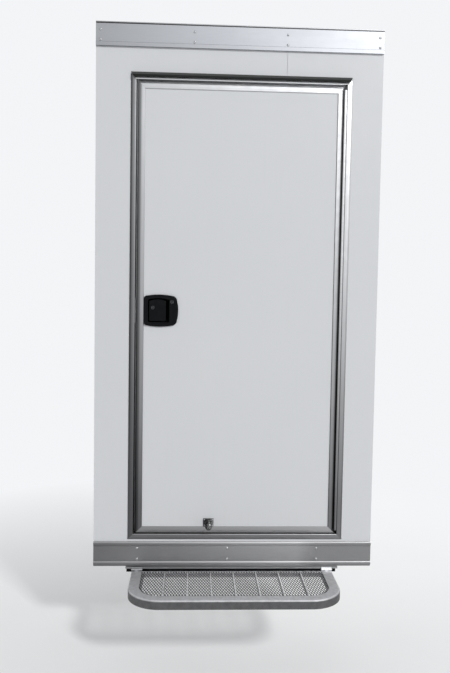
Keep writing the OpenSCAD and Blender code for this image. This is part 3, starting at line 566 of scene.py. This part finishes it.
def dusty_rubber():
    """Dust in uneven clouds; what faces up is lighter, a painted sky light, and the hanging lip stays black.
    """
    f = Finish("dusty_rubber", (0.008, 0.0090, 0.0090), roughness=0.58, Specular_IOR_Level=0.16)
    dust = f.noise(35, detail=6, stretch=(0.3, 1, 1), rough=0.65)
    f.tint(f.ramp(dust, 0.48, 0.80, 0.0, 0.25), (0.030, 0.031, 0.030))
    # Painted sky light: what faces up is lighter.
    f.tint(f.ramp(f.part_of("Normal", Z), 0.05, 0.60, 0.0, 0.8), (0.055, 0.056, 0.055))
    f.gloss(f.ramp(dust, 0.3, 0.7, 0.50, 0.68))
    f.bump(f.noise(900, detail=2), 0.00008, 0.4)
    return f.material


def pebbled_board():
    """White lining with a pebbled face."""
    f = Finish("pebbled_board", (0.74, 0.74, 0.72), roughness=0.52)
    f.tint(f.ramp(f.noise(3, detail=3), 0.4, 0.7, 0.0, 0.5), (0.70, 0.70, 0.67))
    f.gloss(f.ramp(f.noise(50, detail=3), 0.3, 0.7, 0.46, 0.60))
    f.bump(f.ramp(f.cells(240), 0.0, 0.7, 1.0, 0.0), 0.00025, 0.35)
    return f.material


def rigid_foam():
    """Yellowish foam with open pores about a millimetre wide."""
    f = Finish("rigid_foam", (0.76, 0.66, 0.38), roughness=0.85)
    pores = f.cells(900)
    f.tint(f.ramp(pores, 0.0, 0.35, 0.8, 0.0), (0.52, 0.42, 0.22))
    f.bump(pores, 0.0004, 0.5)
    return f.material


def clear_sealant():
    """A dull smear with dust in it."""
    f = Finish("sealant", (0.60, 0.61, 0.62), roughness=0.30)
    f.tint(f.ramp(f.noise(80, detail=4), 0.4, 0.7, 0.0, 0.7), (0.48, 0.48, 0.47))
    f.bump(f.noise(200, detail=3), 0.0004, 0.4)
    return f.material


NEAR_GROUND, FAR_GROUND = 0.9, 3.2


def pale_ground():
    """Near the step the sheet takes the shadow.

    From NEAR_GROUND to FAR_GROUND metres out, what the camera, mirrors and glass see of it runs
    over into the pale world, so that no horizon shows.
    """
    f = Finish("pale_ground", (0.80, 0.80, 0.80), roughness=0.75)
    f.tint(f.ramp(f.noise(2.0, detail=4), 0.4, 0.7, 0.0, 0.4), (0.77, 0.77, 0.77))
    nodes, link = f.tree.nodes, f.tree.links.new
    far = nodes.new("ShaderNodeVectorMath")
    far.operation = "LENGTH"
    link(f.coordinates.outputs["Object"], far.inputs[0])
    path = nodes.new("ShaderNodeLightPath")
    seen = f.sum_of(path.outputs["Is Camera Ray"], path.outputs["Is Glossy Ray"])
    seen = f.sum_of(seen, path.outputs["Is Transmission Ray"])
    part = nodes.new("ShaderNodeMath")
    part.operation = "MULTIPLY"
    link(f.ramp(far.outputs["Value"], NEAR_GROUND, FAR_GROUND, 0.0, 1.0), part.inputs[0])
    link(seen, part.inputs[1])
    pale = nodes.new("ShaderNodeEmission")
    pale.inputs["Color"].default_value = (*SEEN_COLOUR, 1)
    mix = nodes.new("ShaderNodeMixShader")
    link(part.outputs[0], mix.inputs[0])
    link(f.shader.outputs[0], mix.inputs[1])
    link(pale.outputs[0], mix.inputs[2])
    link(mix.outputs[0], nodes["Material Output"].inputs["Surface"])
    return f.material


ZINC = zinc_plate()
LATCH_PLASTIC = grained_plastic()
HOLDBACK = holdback_metal()
BLACKENED = blackened_metal()
CAP_RUBBER = dusty_rubber()
LINING = pebbled_board()
FOAM = rigid_foam()
SEALANT = clear_sealant()
GROUND = pale_ground()

# %% [markdown]
# ## Finishes on the CAD pieces
# The CAD pieces keep their shapes, and each one's material slots get the finish that the real
# piece has. Uprights and cross bars of one extrusion need two finishes, because the die lines run
# along each bar.

# %% Assign the finishes
FINISH_OF = {
    "skin_left": PAINTED, "skin_right": PAINTED, "skin_over_left": PAINTED,
    "skin_over_right": PAINTED, "skin_sill": PAINTED, "outer_panel": PAINTED,
    "wall_posts": POST_METAL, "wall_plates": PLATE_METAL,
    "lining_sides": LINING, "lining_ends": LINING, "inner_panel": LINING, "inner_ring": LINING,
    "top_rail": RAIL, "roof_edge": ROOF_EDGE, "bottom_rail": LOW_RAIL, "step_mount_bar": MOUNT_BAR,
    "drip_cap": CAP_RUBBER, "door_seal": CAP_RUBBER,
    "frame_left": FRAME_LEFT, "frame_right": FRAME_RIGHT,
    "frame_head": FRAME_ACROSS, "frame_sill": FRAME_ACROSS,
    "leaf_trim_left": TRIM_UP, "leaf_trim_right": TRIM_HINGE_SIDE,
    "leaf_trim_top": TRIM_ACROSS, "leaf_trim_bottom": TRIM_ACROSS,
    "hinge_fixed_plate": HINGE_METAL, "hinge_moving_plate": HINGE_METAL,
    "hinge_pin": ZINC, "strike_plate": ZINC, "step_hinge_pins": ZINC, "latch_bolt": ZINC,
    "paddle_plug": BLACKENED, "bolt_plug": BLACKENED,
    "leaf_core": FOAM,
    "latch_housing": LATCH_PLASTIC, "latch_paddle": LATCH_PLASTIC, "inside_handle": LATCH_PLASTIC,
    "holdback_base": HOLDBACK, "holdback_plunger": HOLDBACK,
    "step_arm_left": BLASTED, "step_arm_right": BLASTED, "step_nosing": BLASTED,
    "tread_rear_bar": TOP_LIT_BAR, "step_hinge_lugs": STEP_HINGE, "step_hinge_plates": STEP_HINGE,
    "tread_bars": TOP_LIT_BAR, "tread_mesh_left": EXPANDED, "tread_mesh_right": EXPANDED,
}


def dress(node, material):
    """Puts one material in every slot of a CAD node's object."""
    if not nodes[node].material_slots:
        nodes[node].data.materials.append(material)
    for slot in nodes[node].material_slots:
        slot.material = material


for node in nodes:
    dress(node, FINISH_OF[node])
print("dressed", len(nodes), "CAD nodes with", len(set(FINISH_OF.values())), "finishes")

# %% [markdown]
# ## A grid made into a mesh
# Most new pieces are one formula over two parameters. This helper takes the worked-out points as a
# rows x columns array, joins neighbours into four-sided faces, and closes the piece round and at
# its ends when asked.


# %% Surface helper
def new_piece(name, verts, faces, material, smooth):
    """A mesh object in the scene with one material. smooth says for each face whether it is shaded so."""
    mesh = bpy.data.meshes.new(name)
    mesh.from_pydata(verts.tolist(), [], faces)
    mesh.materials.append(material)
    mesh.polygons.foreach_set("use_smooth", smooth)
    mesh.update()
    piece = bpy.data.objects.new(name, mesh)
    scene.collection.objects.link(piece)
    return piece


def surface(name, points, material, around=True, caps=False, smooth=True):
    """A mesh from rows x columns x 3 points.

    around joins the last column to the first. caps closes the first and last rows with one face
    each, where the rows are closed outlines.
    """
    rows, columns = points.shape[:2]
    index = np.arange(rows * columns).reshape(rows, columns)
    right = np.roll(index, -1, axis=1) if around else index[:, 1:]
    left = index if around else index[:, :-1]
    faces = np.stack([left[:-1], right[:-1], right[1:], left[1:]], axis=-1).reshape(-1, 4).tolist()
    if caps:
        faces.append(index[0][::-1].tolist())
        faces.append(index[-1].tolist())
    return new_piece(name, points.reshape(-1, 3), faces, material, np.full(len(faces), smooth))


def merge(name, pieces, material):
    """Joins several meshes into one object at the origin: their vertices and faces are stacked."""
    verts, faces, start, smooth = [], [], 0, []
    for piece in pieces:
        mesh = piece.data
        co = np.empty(len(mesh.vertices) * 3)
        mesh.vertices.foreach_get("co", co)
        verts.append(co.reshape(-1, 3))
        faces += [[start + i for i in p.vertices] for p in mesh.polygons]
        smooth += [p.use_smooth for p in mesh.polygons]
        start += len(mesh.vertices)
        bpy.data.objects.remove(piece)
        bpy.data.meshes.remove(mesh)
    return new_piece(name, np.concatenate(verts), faces, material, smooth)


OUT = np.array([0, -1.0, 0])


def circle(sides):
    """Points (cos t, 0, sin t) round an axis that stands out from the wall."""
    t = np.linspace(0, 2 * np.pi, sides, endpoint=False)
    return np.stack([np.cos(t), np.zeros_like(t), np.sin(t)], axis=-1)[None]


def turned(name, centre, profile, material, sides=24):
    """A turned piece: point = centre + height * OUT - radius * circle.

    profile holds (radius, height) pairs from the seat to the tip.
    """
    radius, height = profile[:, 0, None, None], profile[:, 1, None, None]
    return surface(name, np.array(centre) + height * OUT - radius * circle(sides), material, caps=True)


def done(piece, body):
    """Says which body the piece moves with."""
    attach(piece, body)
    return piece


# %% [markdown]
# ## Rail screws
# Pairs of pan-head screws hold each rail, 16 inches apart like the wall's posts. On the upper rail
# one pair stands on the seam of the outer sheet, and the lower rail has a place of its own. A pan
# head is a turned shape: a thin washer flange, a rounded side, a nearly flat top and a drive recess.
# One profile, turned round its axis, makes them all.

# %% Rail screws
PAN_HEAD = np.array([
    (5.6, 0.0), (5.7, 0.25), (5.5, 0.5), (4.5, 0.6), (4.3, 1.4), (3.9, 2.1), (3.2, 2.6), (2.2, 2.85),
    (1.7, 2.85), (1.45, 2.6), (1.2, 1.4), (0.3, 1.2),
])
BAY = 406.4
RAIL_FACE_Y = -8.0
LOW_POST_X = -36.1
SEAM_X = (edge("skin_over_left", HIGH, X) + edge("skin_over_right", LOW, X)) / 2
LOW_ROWS_Z = (0, 49)
TOP_ROWS_Z = (edge("top_rail", LOW, Z) + 25, edge("top_rail", HIGH, Z) - 26)


def screw_row(name, xs, zs):
    """Pan heads at every x and z, seated on the rails' face."""
    heads = [
        turned(f"{name}_{i}_{j}", (x * mm, RAIL_FACE_Y * mm, z * mm), PAN_HEAD * mm, ZINC)
        for i, x in enumerate(xs)
        for j, z in enumerate(zs)
    ]
    return done(merge(name, heads, ZINC), "wall")


screw_row("bottom_rail_screws", [LOW_POST_X + k * BAY for k in (-1, 0, 1)], LOW_ROWS_Z)
screw_row("top_rail_screws", [SEAM_X + k * BAY for k in (-2, -1, 0, 1)], TOP_ROWS_Z)

# %% [markdown]
# ## The latch bezel
# The real bezel is one soft moulding: straight on the side of the door's edge, bowed on the other
# three, with its face rolling over into the side. The CAD node has the same outline with flat
# bevels. Here each ring of points is that outline at one depth: first the back plate, up the side,
# round the edge, across the face, over the recess's lip and down to its floor. Between the outer
# outline and the recess's outline the rings blend by angle, so the face stays smooth.

# %% Bezel outline in polar form
LATCH_AT = np.array([edge("latch_housing", LOW, X), 0.0, edge("latch_housing", LOW, Z)])
PANEL_Y = edge("outer_panel", LOW, Y)
BEZEL_W, BEZEL_H = size_of("latch_housing", X), size_of("latch_housing", Z)
BOW = 5.0
BEZEL_MIDDLE = np.array([68.0, 71.5])
PADDLE_MIDDLE = np.array([60.5, 72.0])
ANGLES = np.linspace(0, 2 * np.pi, 192, endpoint=False)
EDGE_ROLL, LIP_ROLL = 5.5, 3.0
EDGE_DEEP, DISH = 6.0, 0.8
BEZEL_FACE, CASE_REAR = edge("latch_housing", LOW, Y), edge("latch_housing", HIGH, Y)
SEAT_Y = PANEL_Y + 0.2
SIDE_TOP, SIDE_FOOT, RECESS_FLOOR = 8.0, 17.0, 19.5
TINY = 0.02


def bowed_side(a, b, bow, n=24):
    """A side from a to b that swells outwards by bow in its middle, as 4t(1-t)."""
    t = np.linspace(0, 1, n)[:, None]
    side = np.array([b[1] - a[1], a[0] - b[0]]) / np.hypot(*(np.array(b) - a))
    return np.array(a) + (np.array(b) - a) * t + side * bow * 4 * t * (1 - t)


def corner(c, r, start, n=14):
    """A quarter circle of radius r round c, from the angle start, in degrees."""
    t = np.radians(start + 90 * np.linspace(0, 1, n))
    return np.array(c) + r * np.stack([np.cos(t), np.sin(t)], axis=-1)


def polar(outline, middle):
    """Distance from the middle to the outline along each of ANGLES.

    Each edge gets 40 points, and the distances of those are interpolated by angle.
    """
    t = np.linspace(0, 1, 40, endpoint=False)[None, :, None]
    dense = (outline[:, None] * (1 - t) + np.roll(outline, -1, axis=0)[:, None] * t).reshape(-1, 2)
    rel = dense - middle
    angle = np.mod(np.arctan2(rel[:, 1], rel[:, 0]), 2 * np.pi)
    order = np.argsort(angle)
    return np.interp(ANGLES, angle[order], np.hypot(*rel[order].T), period=2 * np.pi)


def bezel_outline():
    """The bezel: straight on the left, bowed on the other sides, tighter corners (rl) on the left."""
    rl, rr = 13.0, 24.0
    x0, x1, z0, z1 = 0.0, BEZEL_W - BOW, BOW, BEZEL_H - BOW
    return np.concatenate([
        corner((x0 + rl, z0 + rl), rl, 180), bowed_side((x0 + rl, z0), (x1 - rr, z0), BOW),
        corner((x1 - rr, z0 + rr), rr, 270), bowed_side((x1, z0 + rr), (x1, z1 - rr), BOW),
        corner((x1 - rr, z1 - rr), rr, 0), bowed_side((x1 - rr, z1), (x0 + rl, z1), BOW),
        corner((x0 + rl, z1 - rl), rl, 90), np.array([[x0, z1 - rl], [x0, z0 + rl]]),
    ])


def recess_outline(grow, x0=19.0, x1=112.0, z0=20.0, z1=125.0, r=5.0, rise=5.0):
    """The recess: square below, arched above, with small corner rounds, grown outwards by grow."""
    x0, x1, z0, z1 = x0 - grow, x1 + grow, z0 - grow, z1 - rise + grow
    return np.concatenate([
        corner((x0 + r, z0 + r), r, 180), corner((x1 - r, z0 + r), r, 270),
        corner((x1 - r, z1 - r), r, 0), bowed_side((x1 - r, z1), (x0 + r, z1), rise),
        corner((x0 + r, z1 - r), r, 90),
    ])


# %% [markdown]
# An outline is now one radius along each fixed angle. Rings of those radii, each at its own depth,
# are the rows of the surface, from the back of the case to the floor of the recess.


# %% Bezel surface
def ring(radius, y, middle=BEZEL_MIDDLE):
    """One ring of points at depth y: the middle plus radius along each angle."""
    x = middle[0] + radius * np.cos(ANGLES)
    z = middle[1] + radius * np.sin(ANGLES)
    return (LATCH_AT + np.stack([x, np.full_like(x, y), z], axis=-1)) * mm


def latch_bezel():
    """Rings from the back of the lock case, over the face, to the floor of the recess.

    The edge and the lip are quarter rounds: inwards by roll*(1 - cos a), forwards by deep*sin a.
    Between them the outline blends from one to the other and dishes by sin(pi*t) squared.
    """
    outer = polar(bezel_outline(), BEZEL_MIDDLE)
    case = polar(recess_outline(2.5, x0=12.5, x1=136.5, r=3, rise=0.0), BEZEL_MIDDLE)
    lip = polar(recess_outline(0), BEZEL_MIDDLE)
    rings = [ring(case * TINY, CASE_REAR), ring(case, CASE_REAR), ring(case, SEAT_Y), ring(outer, SEAT_Y)]
    for a in np.radians(np.linspace(0, 90, 9)):
        depth = BEZEL_FACE + EDGE_DEEP * (1 - math.sin(a))
        rings.append(ring(outer - EDGE_ROLL * (1 - math.cos(a)), depth))
    shoulder, rim = outer - EDGE_ROLL, lip + LIP_ROLL
    for t in np.linspace(0.1, 0.9, 9):
        depth = BEZEL_FACE + DISH * math.sin(math.pi * t) ** 2
        rings.append(ring(shoulder + (rim - shoulder) * t, depth))
    for a in np.radians(np.linspace(0, 90, 7)):
        depth = BEZEL_FACE + LIP_ROLL * (1 - math.cos(a))
        rings.append(ring(rim - LIP_ROLL * math.sin(a), depth))
    rings += [ring(lip, SIDE_TOP), ring(lip, SIDE_FOOT)]
    rings += [ring(lip - 2.5, RECESS_FLOOR), ring(lip * TINY, RECESS_FLOOR)]
    return surface("latch_bezel", np.stack(rings), LATCH_PLASTIC, caps=True)


bezel = done(latch_bezel(), "leaf")
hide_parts("latch_housing")
print("bezel faces:", len(bezel.data.polygons))

# %% [markdown]
# ## The paddle
# The paddle is a softly crowned plate with an arched top. Its face swells by a millimetre and its
# rim rolls over, which is what catches the light. The same ring method makes it, in its own middle.
# Its height is a number here, because the CAD piece's box also holds the pins of its pivot.

# %% Paddle surface
PADDLE_X = [edge("latch_paddle", side, X) - LATCH_AT[X] for side in (LOW, HIGH)]
PADDLE_Z = (24.0, 121.0)


def latch_paddle():
    """Rings of the paddle's outline, from the back's middle, round the rim, to the face's middle.

    Over the face, y = front - crown * (1 - s^2), where s is the share of the way out.
    """
    rim = polar(recess_outline(0, *PADDLE_X, *PADDLE_Z, r=7.0), PADDLE_MIDDLE)
    back, roll, crown = -3.0, 2.5, 1.0
    front = edge("latch_paddle", LOW, Y) + crown
    rings = [(rim * TINY, back), (rim - 1.0, back)]
    for a in np.radians(np.linspace(-60, 90, 11)):
        inward = roll * (1 - math.cos(max(a, 0))) + 1 - math.cos(min(a, 0))
        rings.append((rim - inward, front + roll * (1 - math.sin(a))))
    for s in np.linspace(0.9, TINY, 10):
        rings.append(((rim - roll) * s, front - crown * (1 - s * s)))
    points = np.stack([ring(radius, y, PADDLE_MIDDLE) for radius, y in rings])
    return surface("latch_paddle_face", points, LATCH_PLASTIC, caps=True)


paddle = done(latch_paddle(), "paddle")
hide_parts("latch_paddle")

# %% [markdown]
# ## Rings round the key plugs
# Each key plug sits in a small turned collar, which is what glints in the photograph. The collar is
# centred on the plug and stands on the face of the piece that the plug turns in.

# %% Key collars
COLLAR = np.array([
    (8.15, -1.0), (11.2, -1.0), (11.2, 0.4), (10.6, 1.1), (9.4, 1.4), (8.6, 1.1), (8.15, 0.3),
])


def collar(name, plug, seat, body):
    """A closed ring: its section is carried round the plug's axis and joined to itself."""
    radius, height = COLLAR[:, 0, None, None], COLLAR[:, 1, None, None]
    centre = np.array([middle_of(plug, X), edge(seat, LOW, Y), middle_of(plug, Z)])
    points = centre + height * OUT + radius * circle(40)
    points = np.concatenate([points, points[:1]])
    piece = surface(name, points * mm, LATCH_PLASTIC)
    return done(piece, body)


collar("paddle_key_collar", "paddle_plug", "latch_paddle", "paddle")
collar("bolt_key_collar", "bolt_plug", "latch_housing", "leaf")

# %% [markdown]
# ## The hold-back plunger
# A turned fitting stands out from the foot of the door, to hold it when it is swung wide open. Its
# profile has a collar, a waist and a domed head, and four small screws hold its plate.

# %% Hold-back plunger
HOLDBACK_AT = np.array([middle_of("holdback_plunger", X), PANEL_Y, middle_of("holdback_plunger", Z)])
PLATE_MIDDLE = HOLDBACK_AT + [0, -4.0, 6.0]
PLATE_HOLES = [(-18, 13), (18, 13), (-18, -13), (18, -13)]
SMALL_SCREW = 0.55
PLUNGER = [(0.2, 17.0), (11.5, 17.0), (12.6, 18.0), (12.6, 21.0), (11.0, 22.0), (9.6, 24.0), (9.2, 30.0),
           (9.6, 36.0), (11.5, 39.5), (14.2, 42.0), (15.0, 44.5), (15.0, 49.0), (14.2, 52.0), (12.0, 54.0),
           (8.0, 55.0), (0.2, 55.0)]


def profile_smoothed(profile):
    """Cuts each corner of a profile at a quarter and three quarters, twice, which rounds it."""
    p = np.array(profile)
    for _ in range(2):
        a, b = p[:-1], p[1:]
        cut = np.stack([0.75 * a + 0.25 * b, 0.25 * a + 0.75 * b], axis=1).reshape(-1, 2)
        p = np.concatenate([p[:1], cut, p[-1:]])
    return p


plunger = turned("plunger", HOLDBACK_AT * mm, profile_smoothed(PLUNGER) * mm, HOLDBACK, sides=40)
done(plunger, "leaf")
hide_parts("holdback_plunger")

plate_screws = [
    turned(f"plate_screw_{i}", (PLATE_MIDDLE + [dx, 0, dz]) * mm, PAN_HEAD * SMALL_SCREW * mm, ZINC)
    for i, (dx, dz) in enumerate(PLATE_HOLES)
]
done(merge("holdback_screws", plate_screws, ZINC), "leaf")

# %% [markdown]
# ## Expanded metal
# The tread is sheet that was slit and pulled open, so its strands stand on edge and lean, and every
# diamond has a sharp upper lip that grips a boot. A flat sheet with holes looks dead beside it. Each
# strand here is a leaning strip between two bonds, and each bond is a small block tipped up at the
# back, which is what glints in rows. The whole lattice comes from the row and column numbers.

# %% Expanded tread
STEP_X, STEP_TOP = middle_of("step_nosing", X), edge("step_nosing", HIGH, Z)
TREAD_W = size_of("tread_rear_bar", X)
TREAD_FRONT, TREAD_REAR = edge("tread_bars", LOW, Y), edge("tread_mesh_left", HIGH, Y)
RIM_WIDE = round(edge("tread_rear_bar", LOW, X) - edge("step_arm_left", LOW, X), 1)
RIM_INNER_R = size_of("step_arm_left", X) - RIM_WIDE
BAYS_ACROSS = 8
BAR, BAR_GAP = 5.0, 0.6
CELLS = 8
CELL_LONG = 31.75
STRAND_DEEP, STRAND_THICK, LEAN = 2.6, 1.5, 20
STRAND_Z = STEP_TOP - 2.2
STRAND_INSET = 0.3
BOND_WIDE, BOND_LONG, BOND_TIP = 4.6, 7.0, 1.2
FIRST_ROW, BOND_MARGIN, SHORTEST_SHARE = 1.0, 3.0, 0.1


def inside_rim(x, y, margin):
    """True where a point keeps margin inside the rim's opening, with its two rounded front corners."""
    r = RIM_INNER_R - margin
    dx = np.abs(x - STEP_X) - (TREAD_W / 2 - margin - r)
    dy = (TREAD_FRONT + margin + r) - y
    box = (np.abs(x - STEP_X) <= TREAD_W / 2 - margin) & (y >= TREAD_FRONT + margin)
    box &= y <= TREAD_REAR - margin
    return box & ((dx <= 0) | (dy <= 0) | (np.hypot(dx, dy) <= r))


def node_places(first, last):
    """Places of the bonds and ends of the strands, bay by bay.

    Bonds lie at x0 + i*cell/2, y0 + j*long/2 where i + j is even. Strands go from each bond to its
    neighbours at i - 1 and i + 1, j + 1, and end at the rear bar.
    """
    half_long = CELL_LONG / 2
    bonds, strands = [], []
    for bay in range(first, last + 1):
        left = STEP_X - TREAD_W / 2 + bay * TREAD_W / BAYS_ACROSS
        x0 = left + (BAR if bay else 0) + BAR_GAP
        x1 = left + TREAD_W / BAYS_ACROSS - BAR_GAP
        half_cell = (x1 - x0) / CELLS / 2
        rows = int((TREAD_REAR - TREAD_FRONT) / half_long) + 2
        i, j = np.meshgrid(np.arange(2 * CELLS + 1), np.arange(rows), indexing="ij")
        even = (i + j) % 2 == 0
        i, j = i[even], j[even]
        place = np.stack([x0 + i * half_cell, TREAD_FRONT + FIRST_ROW + j * half_long], axis=-1)
        bonds.append(place[inside_rim(place[:, 0], place[:, 1], BOND_MARGIN)])
        for way in (-1, 1):
            there = place + [way * half_cell, half_long]
            late = there[:, 1] > TREAD_REAR
            share = np.where(late, (TREAD_REAR - place[:, 1]) / half_long, 1.0)[:, None]
            there = place + (there - place) * share
            good = (i + way >= 0) & (i + way <= 2 * CELLS) & (share[:, 0] > SHORTEST_SHARE)
            good &= inside_rim(place[:, 0], place[:, 1], 0.0) & inside_rim(there[:, 0], there[:, 1], 0.0)
            strands.append(np.concatenate([place[good], there[good]], axis=1))
    return np.concatenate(bonds), np.concatenate(strands)


def strips(strands):
    """Eight corners of each strand: a strip on edge that leans by LEAN degrees to the right.

    Both ends are drawn in by STRAND_INSET, so that no two strips share an edge.
    """
    a, b = strands[:, :2], strands[:, 2:]
    along = b - a
    length = np.linalg.norm(along, axis=1, keepdims=True)
    side = np.stack([along[:, 1], -along[:, 0]], axis=-1) / length
    a, b = a + along / length * STRAND_INSET, b - along / length * STRAND_INSET
    lean = math.radians(LEAN)
    u = np.array([math.sin(lean), math.cos(lean)]) * STRAND_DEEP / 2
    v = np.array([math.cos(lean), -math.sin(lean)]) * STRAND_THICK / 2
    corners = np.array([u + v, u - v, -u - v, -u + v])
    ends = []
    for p in (a, b):
        xy = p[:, None, :] + side[:, None, :] * corners[None, :, :1]
        z = np.broadcast_to(STRAND_Z + corners[None, :, 1:2], xy[..., :1].shape)
        ends.append(np.concatenate([xy, z], axis=-1))
    return np.concatenate(ends, axis=1)


def lozenges(bonds):
    """Eight corners of each bond: a small block whose rear edge is lifted by BOND_TIP."""
    x = np.array([-1, 1, 1, -1] * 2) * BOND_WIDE / 2
    y = np.array([-1, -1, -1, -1, 1, 1, 1, 1]) * BOND_LONG / 2
    z = STRAND_Z + np.array([1, 1, -1, -1] * 2) * STRAND_DEEP / 2
    z = z + np.array([-1] * 4 + [1] * 4) * BOND_TIP / 2
    heights = np.broadcast_to(z[None, :, None], (len(bonds), 8, 1))
    return np.concatenate([bonds[:, None, :] + np.stack([x, y], axis=-1)[None], heights], axis=-1)


BLOCK_FACES = np.array([[0, 1, 2, 3], [7, 6, 5, 4], [0, 4, 5, 1], [1, 5, 6, 2], [2, 6, 7, 3], [3, 7, 4, 0]])


def expanded_tread(name, first, last):
    """One object of all strands and bonds in bays first..last: eight corners and six faces for each."""
    bonds, strands = node_places(first, last)
    points = np.concatenate([strips(strands), lozenges(bonds)])
    faces = (np.arange(len(points))[:, None, None] * 8 + BLOCK_FACES[None]).reshape(-1, 4)
    flat = np.full(len(faces), False)
    piece = new_piece(name, points.reshape(-1, 3) * mm, faces.tolist(), EXPANDED, flat)
    print(name, len(strands), "strands", len(bonds), "bonds")
    return done(piece, "step")


left_tread = expanded_tread("expanded_tread_left", 0, 3)
right_tread = expanded_tread("expanded_tread_right", 4, 7)
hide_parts("tread_mesh_left")
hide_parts("tread_mesh_right")

# %% [markdown]
# ## Bead of sealant
# Where the frame's flange lies on the wall, a thin bead of sealant shows as a dull line. It is a
# small half-round carried along each side of the frame.

# %% Sealant bead
BEAD_X = edge("frame_right", HIGH, X) + 0.5
BEAD_LOW, BEAD_TOP = edge("frame_sill", LOW, Z) + 1, edge("frame_head", HIGH, Z) - 2
SKIN_FACE_Y = edge("skin_left", LOW, Y)
BEAD_HALF, BEAD_PROUD = 1.6, 0.6


def bead(name, x):
    """An upright half-round bead with a flat back.

    Point = (x + w*cos t, skin - 0.6*w*sin t, z), with t from 180 to 0 so that the faces look out. The
    half width w wavers by two sines of the height.
    """
    up = np.linspace(0, BEAD_TOP - BEAD_LOW, 240)[:, None]
    wide = BEAD_HALF * (1 + 0.18 * np.sin(up / 19.0) + 0.12 * np.sin(up / 7.3))
    t = np.radians(np.linspace(180, 0, 9))[None]
    points = [x + wide * np.cos(t), SKIN_FACE_Y - BEAD_PROUD * wide * np.sin(t), BEAD_LOW + up + 0 * t]
    return surface(name, np.stack(points, axis=-1) * mm, SEALANT, caps=True)


beads = [bead("bead_left", -BEAD_X), bead("bead_right", BEAD_X)]
done(merge("sealant_bead", beads, SEALANT), "wall")

# %% [markdown]
# ## Ground
# A plain pale sheet under the step. It is part of the stage, not of the door.

# %% Ground
GROUND_X, GROUND_Y, GROUND_Z = (-14.0, 14.0), (-6.0, 14.0), -0.43
x, y = np.meshgrid(GROUND_X, GROUND_Y, indexing="ij")
sheet = np.stack([x, y, np.full_like(x, GROUND_Z)], axis=-1)
ground = surface("ground", sheet, GROUND, around=False, smooth=False)
